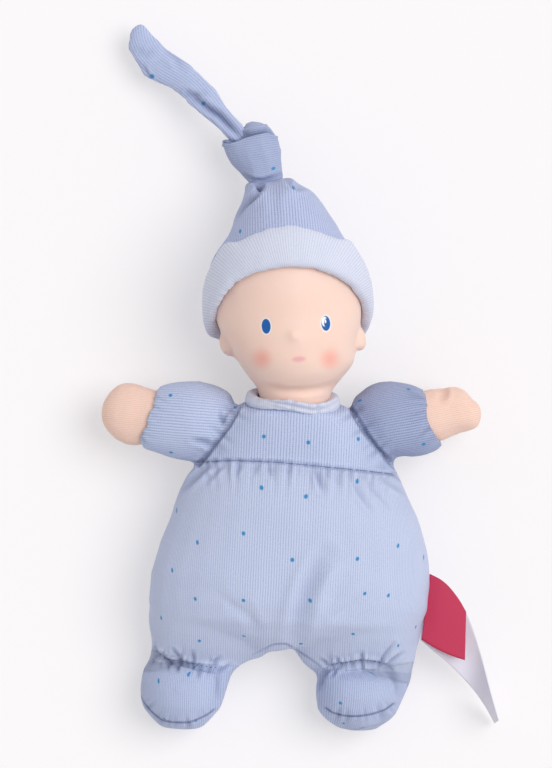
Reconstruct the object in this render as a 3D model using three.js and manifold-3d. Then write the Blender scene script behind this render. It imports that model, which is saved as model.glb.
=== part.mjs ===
// Baby doll with a moulded rubber head and a stuffed jersey body, lying on its back.
// Millimetres. +Z points up out of the chest, +Y runs from the feet to the head, +X to the doll's left.
// The origin is the middle of the flat patch that the seat rests on.
// The body is two jersey panels sewn round a side seam and stuffed. The head's neck is tied into
// the neckline, and a knotted cap with a turned-up cuff pulls off the head along the neck.

import * as THREE from 'three';
import { mergeVertices } from 'three/addons/utils/BufferGeometryUtils.js';
import Module from 'manifold-3d';

const wasm = await Module();
wasm.setup();

const DEGREE = Math.PI / 180;

// Cloth and seams
const CLOTH = 1.2;
const SEAM_GAP = 0.35;
const REST_FLAT = 0.5;
const OVERRUN = 30;

// Romper: the wide gathered bag from the waist seam down to the crotch
const SEAT_TO_WAIST = 40;
const SEAT_TO_CROTCH = 35;
const SIDE_SEAM_HEIGHT = 24;
const BAG_HALF_WIDTH = 58.5;
const BAG_FRONT = 33;
const BAG_BACK = SIDE_SEAM_HEIGHT + REST_FLAT;

// Bodice: the plain yoke from the waist seam up to the neckline
const BODICE_HEIGHT = 26;
const WAIST_HALF_WIDTH = 41;
const WAIST_FRONT = 25;
const WAIST_BACK = 22;
const NECKLINE_HALF_WIDTH = 23;
const NECKLINE_HALF_DEPTH = 19.5;
const NECKLINE_TILT = 12 * DEGREE;

// Neck and head, measured from the neck's pivot in the plane of the neckline
const NECK_X = -1;
const NECK_HEIGHT = 36;
const HEAD_LEAN = 6 * DEGREE;
const NECK_RADIUS = 14.7;
const NECK_RISE = 14;
const NECK_GROOVE_RADIUS = 12;
const NECK_GROOVE_START = 3.4;
const NECK_GROOVE_WIDTH = 3;
const NECK_FLANGE_RADIUS = 13.4;
const NECK_FLANGE_WIDTH = 2;
const NECK_BORE_RADIUS = 9.5;
const HEAD_WALL = 3;
const CHIN_RISE = 6;
const HEAD_HEIGHT = 81;
const HEAD_HALF_WIDTH = 30.8;
const FACE_DEPTH = 35;
const NAPE_DEPTH = 32;
const EAR_RISE = 24;
const EAR_RADII = [3.6, 6.2, 4.6];
const EAR_OUT = 27.6;
const EAR_BACK = 3;
const NOSE_RISE = 27;
const NOSE_RADII = [2.4, 2.2, 1.6];
const TIE_RADIUS = 1;
const TIE_GAP = 0.4;

// Collar: a soft folded binding round the neckline
const COLLAR_CLEARANCE = 1.9;
const COLLAR_THICKNESS = 3.4;
const COLLAR_WIDTH = 5;
const COLLAR_WAVE = 0.9;

// Knotted cap with its turned-up cuff, measured in the head's own frame
const CAP_EASE = 0.8;
const CAP_SLACK = 0.9;
const BRIM_RISE = 33;
const BRIM_SLOPE = 0.657;
const CROWN_TOP_SPARE = 5.2;
const CROWN_TOP_LEAN = -7;
const CROWN_TOP_BACK = 10;
const CUFF_WIDTH = 19;
const CUFF_THICKNESS = 3.7;
const CUFF_BACK_THICKNESS = 2.6;
const KNOT_OFFSET = [-3.1, 12, -6];
const KNOT_RADII = [11.5, 13, 9.5];
const KNOT_WRAP_RADIUS = 6.6;
const KNOT_WRAP_TUBE = 5.2;
const KNOT_WRAP_TILT = 24 * DEGREE;
const TAIL_ROOT_RADIUS = 4.4;
const TAIL_ROOT_GAP = 0.5;
const TAIL_LENGTH = 60;
const TAIL_HALF_WIDTH = 7.8;
const TAIL_HALF_THICKNESS = 3;

// Arms: puffed sleeves whose round root sits in the armhole, with a stuffed hand
const SHOULDER_OUT = 41;
const SHOULDER_BELOW_NECK = 8.5;
const SHOULDER_HEIGHT = 27;
const SLEEVE_ROOT_RADIUS = 15.6;
const SLEEVE_LENGTH = 19.5;
const ARMHOLE_GAP = 0.5;
const CUFF_OPENING = 10.6;
const HAND_SEAT = 3;
const HAND_LENGTH = 20;
const HAND_HALF_WIDTH = 11.2;
const HAND_HALF_DEPTH = 9.4;
const THUMB_RADII = [4.2, 4.8, 3.8];
const THUMB_OUT = 7.5;
const ARM_DROOP = 8 * DEGREE;
const RIGHT_ARM_RAISE = 2 * DEGREE;
const LEFT_ARM_RAISE = 13 * DEGREE;

// Legs and feet
const LEG_HALF_WIDTH = 28.5;
const LEG_TOP = 6;
const LEG_FRONT = 29;
const RIGHT_FOOT_OUT = 41.4;
const LEFT_FOOT_OUT = 32;
const CROTCH_TO_ANKLE = 10;
const FOOT_LENGTH = 27.5;
const FOOT_FRONT = 21;
const ANKLE_FRONT = 12;
const FOOT_SEAM_HEIGHT = 15;
const HIP_RISE = 38;
const HIP_AXIS_HEIGHT = 49;
const HIP_FOLD = 40 * DEGREE;
const THREAD_RADIUS = 0.6;
const THREAD_END_ANGLE = 18 * DEGREE;

// Sewn-in labels at the left side seam
const LABEL_WIDTH = 28;
const LABEL_TOP_DROP = 3;
const LABEL_THICKNESS = 0.6;
const LABEL_CLEARANCE = 0.9;
const SIDE_LABEL_LENGTH = 17;
const SIDE_LABEL_DROP = 11;
const CARE_LABEL_LENGTH = 29;
const CARE_LABEL_DROP = 44;
const CARE_LABEL_FALL = 12;
const CARE_LABEL_TWIST = 70 * DEGREE;
const CARE_LABEL_SLANT_SHARE = 0.35;
const LABEL_BEND = 1.25;
const LABEL_END_SHARE = 0.8;

// How square a section is: 2 is an ellipse
const FRONT_SQUARENESS = 2.15;
const BACK_SQUARENESS = 2.7;

// Facet counts
const BODY_AROUND = 28;
const INNER_AROUND = 14;
const LEG_AROUND = 20;
const LEG_INNER_AROUND = 12;
const HEAD_AROUND = 22;
const HEAD_INNER_AROUND = 12;
const SLEEVE_AROUND = 16;
const SOCKET_AROUND = 18;
const HAND_AROUND = 14;
const TAIL_AROUND = 10;
const RING_AROUND = 24;
const RING_SECTION = 6;

// Places worked out from the driving sizes
const CROTCH_Y = -SEAT_TO_CROTCH;
const NECK_Y = SEAT_TO_WAIST + BODICE_HEIGHT;
const SHOULDER_Y = NECK_Y - SHOULDER_BELOW_NECK;
const ANKLE_Y = CROTCH_Y - CROTCH_TO_ANKLE;
const CROWN_TOP_RISE = CHIN_RISE + HEAD_HEIGHT + CROWN_TOP_SPARE;

// Each row: share of the length, then shares of the half width, the front height and the back depth
const BAG_SHARES = [
  [0, 0.7, 0.76, 0.9], [0.053, 0.755, 0.89, 0.95], [0.133, 0.8, 0.95, 0.985], [0.267, 0.875, 0.99, 1],
  [0.467, 0.957, 1, 1], [0.64, 0.997, 1, 1], [0.78, 1, 0.965, 1], [0.88, 0.95, 0.87, 1],
  [0.95, 0.72, 0.62, 0.97], [1, 0.4, 0.3, 0.7],
];
// Each row: share of the bodice's height, then how far each size has gone from its waist value to its
// neck value
const BODICE_SHARES = [
  [-0.15, 0], [0, 0], [0.12, 0.12], [0.35, 0.36], [0.6, 0.62], [0.8, 0.86], [0.92, 1.03],
  [1.04, 1.25], [1.25, 1.3],
];
// Each row: share of the way down the leg, share of the way out to the foot, then shares of the leg's
// half width and front height. The foot's rows end with a share of the back's depth
const LEG_SHARES = [
  [0, 0, 0.93, 0.9], [0.25, 0, 0.985, 0.95], [0.45, 0.02, 0.985, 0.93], [0.64, 0.12, 0.945, 0.8],
  [0.82, 0.38, 0.84, 0.63],
];
const ANKLE_SHARES = [0.7, 0.66];
const FOOT_SHARES = [
  [0.16, 0.92, 0.635, 0.86, 1], [0.42, 1, 0.625, 1, 1], [0.7, 1, 0.575, 0.93, 1],
  [0.88, 1, 0.46, 0.74, 0.86], [1, 1, 0.3, 0.42, 0.5],
];
// Each row: share of the head's height, then shares of the half width, the face's depth and the nape's depth
const HEAD_SHARES = [
  [0, 0.5, 0.46, 0.46], [0.035, 0.585, 0.66, 0.52], [0.075, 0.66, 0.78, 0.58], [0.13, 0.755, 0.86, 0.68],
  [0.2, 0.855, 0.91, 0.79], [0.28, 0.925, 0.94, 0.88], [0.36, 0.985, 0.945, 0.95], [0.46, 1, 0.975, 1],
  [0.58, 0.98, 0.99, 1], [0.68, 0.9, 0.95, 0.96], [0.77, 0.78, 0.86, 0.88], [0.85, 0.64, 0.73, 0.745],
  [0.92, 0.46, 0.54, 0.55], [0.97, 0.27, 0.33, 0.33], [1, 0.08, 0.1, 0.1],
];
const LEAST_SHARE = 0.05;
const NOSE_SEAT_SHARE = 0.93;
// Each row: share of the way up the crown, share of its lean, then shares of half width, front and back
const CROWN_SHARES = [
  [0, 0, 1, 1, 1], [0.42, 0, 1, 1, 1], [0.54, 0, 0.99, 1, 1], [0.626, -0.1, 0.92, 0.975, 0.97],
  [0.7, -0.16, 0.81, 0.93, 0.87], [0.79, -0.12, 0.7, 0.83, 0.77], [0.86, 0.1, 0.62, 0.77, 0.66],
  [0.93, 0.4, 0.5, 0.64, 0.48], [1, 1, 0.2, 0.22, 0.22],
];
const CROWN_BEND_SHARE = 0.6;
// Each row: share of the length from the root's middle, then how far the radius has closed from the
// root's to the cuff opening's
const SLEEVE_SHARES = [
  [0.28, 0.1], [0.58, 0.34], [0.85, 0.76], [1, 1],
];
// Each row: share of the hand's length, then shares of its half width and half depth
const HAND_SHARES = [
  [0, 0.9, 0.95], [0.2, 0.95, 0.99], [0.45, 1, 1], [0.68, 0.92, 0.93], [0.85, 0.7, 0.74], [0.96, 0.42, 0.44],
  [1, 0.16, 0.18],
];
const THUMB_ALONG_SHARE = 0.45;
// Tail's centre line and half widths, as shares of its length and its half width
const TAIL_LINE_SHARES = [
  [0, 0, 0], [-0.08, 0.1, -0.01], [-0.17, 0.21, -0.05], [-0.35, 0.39, -0.1], [-0.52, 0.49, -0.14],
  [-0.62, 0.64, -0.15], [-0.615, 0.72, -0.14], [-0.6, 0.765, -0.14],
];
const TAIL_WIDTH_SHARES = [0.5, 0.54, 0.74, 0.84, 1, 0.84, 0.55, 0.18];
const KNOT_EXIT_SHARES = [-0.68, 0.82, 0];

// Materials
const JERSEY = cloth('#b7c1e0');
const PALE_JERSEY = cloth('#d3d8ea');
const SKIN_JERSEY = cloth('#f3cdbb');
const SKIN_RUBBER = new THREE.MeshStandardMaterial({ color: '#f7d5c4', roughness: 0.5, metalness: 0 });
const FILLING = cloth('#f2efe8');
const THREAD = cloth('#8f9cc4');
const CRIMSON_TAPE = cloth('#c4375b');
const WHITE_TAPE = cloth('#eceaf4');

/** A matt textile material of one colour. */
function cloth(color) {
  return new THREE.MeshStandardMaterial({ color, roughness: 0.95, metalness: 0 });
}

const mix = THREE.MathUtils.lerp;
const point = (x, y, z) => new THREE.Vector3(x, y, z);

/** A value raised to a power with its sign kept, which squares off an ellipse. */
function signedPower(value, power) {
  return Math.sign(value) * Math.abs(value) ** power;
}

/**
 * One closed section of a stuffed form, in a plane of constant y. The side seam runs at height
 * seam, with the front panel over it and the back panel under it.
 */
function pillowRing({ y, middle, seam, halfWidth, front, back }, around, inset) {
  const frontPower = 2 / FRONT_SQUARENESS;
  const backPower = 2 / BACK_SQUARENESS;
  return Array.from({ length: around }, (_, i) => {
    const angle = (i / around) * 2 * Math.PI;
    const rise = Math.sin(angle);
    const height = rise >= 0
      ? signedPower(rise, frontPower) * (front - inset)
      : signedPower(rise, backPower) * (back - inset);
    return point(middle + signedPower(Math.cos(angle), frontPower) * (halfWidth - inset), y, seam + height);
  });
}

/** Joins equal rings of points into one closed mesh, fanned shut at both ends. */
function loft(rings) {
  const around = rings[0].length;
  const points = rings.flat();
  const faces = [];
  for (let r = 0; r + 1 < rings.length; r += 1) {
    for (let i = 0; i < around; i += 1) {
      const next = (i + 1) % around;
      const low = r * around;
      const high = low + around;
      faces.push(low + i, low + next, high + next, low + i, high + next, high + i);
    }
  }
  const last = (rings.length - 1) * around;
  const firstMiddle = points.push(average(rings[0])) - 1;
  const lastMiddle = points.push(average(rings.at(-1))) - 1;
  for (let i = 0; i < around; i += 1) {
    const next = (i + 1) % around;
    faces.push(firstMiddle, next, i, lastMiddle, last + i, last + next);
  }
  return closedGeometry(points, faces);
}

/** Joins equal rings of points into a closed hoop, the last ring to the first. */
function hoop(rings) {
  const around = rings[0].length;
  const points = rings.flat();
  const faces = [];
  for (let r = 0; r < rings.length; r += 1) {
    const low = r * around;
    const high = ((r + 1) % rings.length) * around;
    for (let i = 0; i < around; i += 1) {
      const next = (i + 1) % around;
      faces.push(low + i, low + next, high + next, low + i, high + next, high + i);
    }
  }
  return closedGeometry(points, faces);
}

/** The middle of a ring of points. */
function average(ring) {
  return ring.reduce((sum, p) => sum.add(p), point(0, 0, 0)).divideScalar(ring.length);
}

/** An indexed geometry of points and faces, turned so that its faces point out. */
function closedGeometry(points, faces) {
  let volume = 0;
  for (let f = 0; f < faces.length; f += 3) {
    const [a, b, c] = [points[faces[f]], points[faces[f + 1]], points[faces[f + 2]]];
    volume += a.dot(b.clone().cross(c));
  }
  const index = volume < 0 ? faces.slice().reverse() : faces;
  const geometry = new THREE.BufferGeometry().setFromPoints(points);
  geometry.setIndex(index);
  return geometry;
}

/** A geometry as a solid that can be joined and cut. */
function solid(geometry) {
  const bare = geometry.clone();
  bare.deleteAttribute('normal');
  bare.deleteAttribute('uv');
  const merged = mergeVertices(bare, 1e-5);
  return new wasm.Manifold(new wasm.Mesh({
    numProp: 3,
    vertProperties: new Float32Array(merged.attributes.position.array),
    triVerts: new Uint32Array(merged.index.array),
  }));
}

/** A named mesh made from a joined and cut solid. */
function meshOf(name, shape, material) {
  const { vertProperties, triVerts, numProp } = shape.getMesh();
  const geometry = new THREE.BufferGeometry();
  const position = new Float32Array((vertProperties.length / numProp) * 3);
  for (let v = 0; v < position.length / 3; v += 1) {
    position.set(vertProperties.slice(v * numProp, v * numProp + 3), v * 3);
  }
  geometry.setAttribute('position', new THREE.BufferAttribute(position, 3));
  geometry.setIndex(new THREE.BufferAttribute(new Uint32Array(triVerts), 1));
  geometry.computeVertexNormals();
  const mesh = new THREE.Mesh(geometry, material);
  mesh.name = name;
  return mesh;
}

/** A solid of a geometry moved to a place. */
function placed(geometry, at, turn = new THREE.Euler()) {
  const matrix = new THREE.Matrix4().makeRotationFromEuler(turn).setPosition(at);
  return solid(geometry.clone().applyMatrix4(matrix));
}

/** An ellipsoid of three radii at a place. */
function ellipsoid(radii, at, across, down) {
  return placed(new THREE.SphereGeometry(1, across, down).scale(...radii), at);
}

/** The round cutter of a socket. */
function ball(radius, at) {
  return ellipsoid([radius, radius, radius], at, SOCKET_AROUND, SOCKET_AROUND / 2);
}

/** A prism standing along Z over an outline of [x, y] corners, from height low to height high. */
function prism(corners, low, high) {
  const outline = new THREE.Shape(corners.map(([x, y]) => new THREE.Vector2(x, y)));
  const geometry = new THREE.ExtrudeGeometry(outline, { depth: high - low, bevelEnabled: false });
  return placed(geometry, point(0, 0, low));
}

// Outer reach used by the cutting blocks
const REACH_X = BAG_HALF_WIDTH + OVERRUN;
const REACH_Y = NECK_Y + OVERRUN;
const REACH_Z = SIDE_SEAM_HEIGHT + BAG_FRONT + OVERRUN;

/** The wide bag between the waist seam and the crotch, its surface moved in by inset. */
function bag(inset, around) {
  const length = SEAT_TO_WAIST + SEAT_TO_CROTCH - inset;
  return solid(loft(BAG_SHARES.map(([down, width, front, back]) => pillowRing({
    y: SEAT_TO_WAIST - down * length,
    middle: 0,
    seam: SIDE_SEAM_HEIGHT,
    halfWidth: BAG_HALF_WIDTH * width,
    front: BAG_FRONT * front,
    back: BAG_BACK * back,
  }, around, inset))));
}

/** The yoke from the waist seam to just past the neckline, its surface moved in by inset. */
function yoke(inset, around) {
  return solid(loft(BODICE_SHARES.map(([up, along]) => pillowRing({
    y: SEAT_TO_WAIST + up * BODICE_HEIGHT,
    middle: NECK_X * along,
    seam: mix(SIDE_SEAM_HEIGHT, NECK_HEIGHT, along),
    halfWidth: mix(WAIST_HALF_WIDTH, NECKLINE_HALF_WIDTH, along),
    front: mix(WAIST_FRONT, NECKLINE_HALF_DEPTH, along),
    back: mix(WAIST_BACK, NECKLINE_HALF_DEPTH, along),
  }, around, inset))));
}

/** A leg and its foot on one side, from inside the bag to the toe, its surface moved in by inset. */
function leg(side, inset, around) {
  const toeY = ANKLE_Y - FOOT_LENGTH + inset;
  const hipMiddle = LEG_HALF_WIDTH + CLOTH / 2;
  const station = (y, out, width, front, back, seam) => pillowRing({
    y,
    middle: side.sign * mix(hipMiddle, side.footOut, out),
    seam,
    halfWidth: LEG_HALF_WIDTH * width,
    front,
    back: (seam + REST_FLAT) * back,
  }, around, inset);
  const rings = LEG_SHARES.map(([down, out, width, front]) => station(
    mix(-LEG_TOP, ANKLE_Y, down), out, width, LEG_FRONT * front, 1,
    mix(SIDE_SEAM_HEIGHT, FOOT_SEAM_HEIGHT, down)));
  rings.push(station(ANKLE_Y, ...ANKLE_SHARES, ANKLE_FRONT, 1, FOOT_SEAM_HEIGHT));
  FOOT_SHARES.forEach(([down, out, width, front, back]) => rings.push(station(
    mix(ANKLE_Y, toeY, down), out, width, FOOT_FRONT * front, back, FOOT_SEAM_HEIGHT)));
  return solid(loft(rings));
}

const SIDES = [
  { name: 'right', sign: -1, footOut: RIGHT_FOOT_OUT, raise: RIGHT_ARM_RAISE },
  { name: 'left', sign: 1, footOut: LEFT_FOOT_OUT, raise: LEFT_ARM_RAISE },
];

/** The stuffed lower body, legs and feet as one form, cut flat where it lies on the floor. */
function lowerBody(inset, around, legAround) {
  const joined = SIDES.reduce((shape, side) => shape.add(leg(side, inset, legAround)), bag(inset, around));
  return joined.subtract(prism(box2d(REACH_X, REACH_Y), -OVERRUN, inset));
}

/** Corners of a rectangle centred on the origin. */
function box2d(halfX, halfY) {
  return [[-halfX, -halfY], [halfX, -halfY], [halfX, halfY], [-halfX, halfY]];
}

/** The crease line's y at a distance out from the middle, moved down by drop. */
const creaseY = (out, drop) => CROTCH_Y + (HIP_RISE * out) / BAG_HALF_WIDTH - drop;

/** The block that keeps what lies over the two crease lines that run out from the crotch. */
function aboveHips(drop) {
  return prism([
    [0, creaseY(0, drop)], [REACH_X, creaseY(REACH_X, drop)], [REACH_X, REACH_Y], [-REACH_X, REACH_Y],
    [-REACH_X, creaseY(REACH_X, drop)],
  ], -OVERRUN, REACH_Z);
}

/** The block that keeps one leg: under its crease line and over the ankle. */
function legBlock(side) {
  const inner = SEAM_GAP / 2;
  const corners = [
    [inner, ANKLE_Y + SEAM_GAP / 2], [REACH_X, ANKLE_Y + SEAM_GAP / 2], [REACH_X, creaseY(REACH_X, SEAM_GAP)],
    [inner, creaseY(inner, SEAM_GAP)],
  ];
  return prism(corners.map(([x, y]) => [side.sign * x, y]), -OVERRUN, REACH_Z);
}

/** The block that keeps one foot, under the ankle. */
function footBlock(side) {
  const top = ANKLE_Y - SEAM_GAP / 2;
  const corners = [[0, top], [REACH_X, top], [REACH_X, -REACH_Y], [0, -REACH_Y]];
  return prism(corners.map(([x, y]) => [side.sign * x, y]), -OVERRUN, REACH_Z);
}

/** The fold that opens in front of a hip, so that the leg can come forward without meeting the belly. */
function hipFold(side) {
  const depth = REACH_Z - HIP_AXIS_HEIGHT;
  const spread = depth * Math.tan(HIP_FOLD / 2);
  const slant = Math.atan2(HIP_RISE, BAG_HALF_WIDTH);
  const outline = new THREE.Shape([
    new THREE.Vector2(-SEAM_GAP, 0), new THREE.Vector2(SEAM_GAP, 0),
    new THREE.Vector2(spread + SEAM_GAP, depth), new THREE.Vector2(-spread - SEAM_GAP, depth),
  ]);
  const wedge = new THREE.ExtrudeGeometry(outline, { depth: REACH_X / Math.cos(slant), bevelEnabled: false });
  const along = point(side.sign * Math.cos(slant), Math.sin(slant), 0);
  const up = point(0, 0, 1);
  const across = up.clone().cross(along);
  const matrix = new THREE.Matrix4().makeBasis(across, up, along);
  matrix.setPosition(0, CROTCH_Y - SEAM_GAP / 2, HIP_AXIS_HEIGHT);
  return solid(wedge.applyMatrix4(matrix));
}

/** The plane half space over or under the side seam, as a cutting block. */
function panelBlock(front) {
  const split = SIDE_SEAM_HEIGHT;
  return front
    ? prism(box2d(REACH_X, REACH_Y), split + SEAM_GAP / 2, REACH_Z)
    : prism(box2d(REACH_X, REACH_Y), -OVERRUN, split - SEAM_GAP / 2);
}

/** The yoke's side seam rises to the neck, so its two panels part along a sloped plane. */
function yokePanelBlock(front) {
  const rise = Math.atan2(NECK_HEIGHT - SIDE_SEAM_HEIGHT, BODICE_HEIGHT);
  const shift = (front ? 1 : -1) * (SEAM_GAP / 2 + REACH_Z / 2);
  const block = new THREE.BoxGeometry(2 * REACH_X, 2 * REACH_Y, REACH_Z);
  block.translate(0, 0, shift);
  return placed(block, point(0, SEAT_TO_WAIST, SIDE_SEAM_HEIGHT), new THREE.Euler(rise, 0, 0));
}

const shoulder = (side) => point(side.sign * SHOULDER_OUT, SHOULDER_Y, SHOULDER_HEIGHT);

/** The two round armholes that the sleeves' roots sit in. */
function armholes() {
  const radius = SLEEVE_ROOT_RADIUS + ARMHOLE_GAP;
  const [right, left] = SIDES.map((side) => ball(radius, shoulder(side)));
  return right.add(left);
}

/** The hollow that the neck turns and nods in. */
function neckHollow() {
  const depth = NECK_GROOVE_START + NECK_GROOVE_WIDTH + NECK_FLANGE_WIDTH;
  const radius = Math.hypot(NECK_FLANGE_RADIUS, depth) + ARMHOLE_GAP;
  const passage = new THREE.CylinderGeometry(
    NECK_RADIUS + COLLAR_CLEARANCE, NECK_RADIUS + COLLAR_CLEARANCE, OVERRUN, HEAD_AROUND);
  return ball(radius, point(NECK_X, NECK_Y, NECK_HEIGHT))
    .add(placed(passage, point(NECK_X, NECK_Y + OVERRUN / 2 - depth / 2, NECK_HEIGHT)));
}

/** The block under the neckline, tilted so that the neckline is lower in front. */
function belowNeckline(drop) {
  const block = new THREE.BoxGeometry(2 * REACH_X, REACH_Y, 2 * REACH_Z);
  block.translate(0, -REACH_Y / 2 - drop, 0);
  return placed(block, point(NECK_X, NECK_Y, NECK_HEIGHT), new THREE.Euler(NECKLINE_TILT, 0, 0));
}

/** The slab of the yoke between the waist seam and the neckline. */
function yokeSlab(low) {
  return prism([[-REACH_X, low], [REACH_X, low], [REACH_X, REACH_Y], [-REACH_X, REACH_Y]], -OVERRUN, REACH_Z)
    .intersect(belowNeckline(COLLAR_WIDTH / 2 + SEAM_GAP));
}

/** Bodice panels, romper panels and the filling that they hold. */
function torso() {
  const core = CLOTH + SEAM_GAP;
  const opening = neckHollow();
  const arms = armholes();
  const folds = SIDES.map(hipFold).reduce((a, b) => a.add(b));
  const waist = SEAT_TO_WAIST;
  const yokeSkin = yoke(0, BODY_AROUND).subtract(yoke(CLOTH, INNER_AROUND))
    .intersect(yokeSlab(waist + SEAM_GAP / 2)).subtract(opening).subtract(arms);
  const bagBlock = aboveHips(0).intersect(
    prism([[-REACH_X, -REACH_Y], [REACH_X, -REACH_Y], [REACH_X, waist - SEAM_GAP / 2],
      [-REACH_X, waist - SEAM_GAP / 2]], -OVERRUN, REACH_Z));
  const outer = lowerBody(0, BODY_AROUND, LEG_AROUND);
  const lining = lowerBody(CLOTH, INNER_AROUND, LEG_INNER_AROUND);
  const bagSkin = outer.subtract(lining).intersect(bagBlock).subtract(folds);
  const filling = lowerBody(core, INNER_AROUND, LEG_INNER_AROUND).intersect(bagBlock)
    .add(yoke(core, INNER_AROUND).intersect(yokeSlab(waist - CLOTH)))
    .subtract(folds).subtract(opening).subtract(arms);
  return [
    meshOf('bodice_front', yokeSkin.intersect(yokePanelBlock(true)), JERSEY),
    meshOf('bodice_back', yokeSkin.intersect(yokePanelBlock(false)), JERSEY),
    meshOf('romper_front', bagSkin.intersect(panelBlock(true)), JERSEY),
    meshOf('romper_back', bagSkin.intersect(panelBlock(false)), JERSEY),
    meshOf('body_filling', filling, FILLING),
  ];
}

/** One leg, its foot, their filling and the gathering thread drawn through the front of the ankle. */
function legAndFoot(side) {
  const outer = lowerBody(0, BODY_AROUND, LEG_AROUND);
  const lining = lowerBody(CLOTH, INNER_AROUND, LEG_INNER_AROUND);
  const core = lowerBody(CLOTH + SEAM_GAP, INNER_AROUND, LEG_INNER_AROUND);
  const fold = hipFold(side);
  const skin = outer.subtract(lining);
  return [
    meshOf(`${side.name}_leg`, skin.intersect(legBlock(side)).subtract(fold), JERSEY),
    meshOf(`${side.name}_leg_filling`, core.intersect(legBlock(side)).subtract(fold), FILLING),
    meshOf(`${side.name}_foot`, skin.intersect(footBlock(side)), JERSEY),
    meshOf(`${side.name}_foot_filling`, core.intersect(footBlock(side)), FILLING),
    ankleThread(side),
  ];
}

/** The gathering thread, lying in the groove across the front of an ankle. */
function ankleThread(side) {
  const [out, width] = ANKLE_SHARES;
  const middle = side.sign * mix(LEG_HALF_WIDTH + CLOTH / 2, side.footOut, out);
  const halfWidth = LEG_HALF_WIDTH * width + THREAD_RADIUS + SEAM_GAP;
  const height = ANKLE_FRONT + THREAD_RADIUS + SEAM_GAP;
  const steps = 10;
  const power = 2 / FRONT_SQUARENESS;
  const line = Array.from({ length: steps + 1 }, (_, i) => {
    const angle = mix(THREAD_END_ANGLE, Math.PI - THREAD_END_ANGLE, i / steps);
    return point(
      middle + signedPower(Math.cos(angle), power) * halfWidth, ANKLE_Y,
      FOOT_SEAM_HEIGHT + signedPower(Math.sin(angle), power) * height);
  });
  const round = new THREE.Shape();
  round.absarc(0, 0, THREAD_RADIUS, 0, 2 * Math.PI);
  const geometry = new THREE.ExtrudeGeometry(round, {
    steps, curveSegments: 2, bevelEnabled: false, extrudePath: new THREE.CatmullRomCurve3(line),
  });
  return meshOf(`${side.name}_ankle_thread`, solid(geometry), THREAD);
}

/** The soft collar that binds the neckline. Its edge rises at the sides and dips in front and behind. */
function collar() {
  const radius = NECK_RADIUS + COLLAR_CLEARANCE + COLLAR_THICKNESS / 2;
  const rings = Array.from({ length: RING_AROUND }, (_, r) => {
    const angle = (r / RING_AROUND) * 2 * Math.PI;
    const wave = COLLAR_WAVE * Math.cos(2 * angle);
    return Array.from({ length: RING_SECTION }, (__, i) => {
      const turn = (i / RING_SECTION) * 2 * Math.PI;
      const reach = radius + (COLLAR_THICKNESS / 2) * Math.cos(turn);
      const rise = (COLLAR_WIDTH / 2) * Math.sin(turn) + (Math.sin(turn) > 0 ? wave : 0);
      return point(reach * Math.cos(angle), rise, (reach * Math.sin(angle)) / Math.cos(NECKLINE_TILT));
    });
  });
  const mesh = meshOf('neck_collar', solid(hoop(rings)), PALE_JERSEY);
  mesh.position.set(NECK_X, NECK_Y, NECK_HEIGHT);
  mesh.rotation.x = NECKLINE_TILT;
  return mesh;
}

/** The head's form without the neck, its surface moved in by inset. */
function headForm(inset, around, rows) {
  const height = HEAD_HEIGHT - 2 * inset;
  return solid(loft(rows.map(([up, width, face, nape]) => pillowHead(
    CHIN_RISE + inset + up * height, width, face, nape, around, inset))));
}

/** One ring of the head at a height, rounder than a stuffed form's. */
function pillowHead(y, width, face, nape, around, inset) {
  const most = (size) => Math.max(size - inset, size * LEAST_SHARE);
  return Array.from({ length: around }, (_, i) => {
    const angle = (i / around) * 2 * Math.PI;
    const depth = Math.sin(angle) >= 0 ? most(FACE_DEPTH * face) : most(NAPE_DEPTH * nape);
    return point(Math.cos(angle) * most(HEAD_HALF_WIDTH * width), y, Math.sin(angle) * depth);
  });
}

/** The moulded rubber head: a hollow shell with ears, a nose, and a grooved and flanged neck. */
function head() {
  const groove = -NECK_GROOVE_START;
  const flange = groove - NECK_GROOVE_WIDTH;
  const end = flange - NECK_FLANGE_WIDTH;
  const neckProfile = [
    [0, end], [NECK_FLANGE_RADIUS, end], [NECK_FLANGE_RADIUS, flange], [NECK_GROOVE_RADIUS, flange],
    [NECK_GROOVE_RADIUS, groove], [NECK_RADIUS, groove + (NECK_RADIUS - NECK_GROOVE_RADIUS) / 2],
    [NECK_RADIUS, NECK_RISE], [0, NECK_RISE],
  ].map(([radius, y]) => new THREE.Vector2(radius, y));
  const neck = solid(new THREE.LatheGeometry(neckProfile, HEAD_AROUND));
  const boreLength = NECK_RISE + OVERRUN;
  const bore = new THREE.CylinderGeometry(NECK_BORE_RADIUS, NECK_BORE_RADIUS, boreLength, HEAD_INNER_AROUND);
  const noseFront = FACE_DEPTH * NOSE_SEAT_SHARE;
  const ear = (sign) => ellipsoid(EAR_RADII, point(sign * EAR_OUT, EAR_RISE, -EAR_BACK), 10, 8);
  const hollowRows = HEAD_SHARES.filter((row, k) => k % 2 === 0);
  const shape = headForm(0, HEAD_AROUND, HEAD_SHARES).add(neck).add(ear(1)).add(ear(-1))
    .add(ellipsoid(NOSE_RADII, point(0, NOSE_RISE, noseFront), 10, 6))
    .subtract(headForm(HEAD_WALL, HEAD_INNER_AROUND, hollowRows))
    .subtract(placed(bore, point(0, NECK_RISE - boreLength / 2, 0)));
  return meshOf('head', shape, SKIN_RUBBER);
}

/** The tie that binds the cloth into the neck's groove. */
function neckTie() {
  const radius = NECK_GROOVE_RADIUS + TIE_GAP + TIE_RADIUS;
  const ring = new THREE.TorusGeometry(radius, TIE_RADIUS, RING_SECTION, RING_AROUND);
  ring.rotateX(Math.PI / 2);
  ring.translate(0, -NECK_GROOVE_START - NECK_GROOVE_WIDTH / 2, 0);
  return meshOf('neck_tie', solid(ring), THREAD);
}

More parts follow.
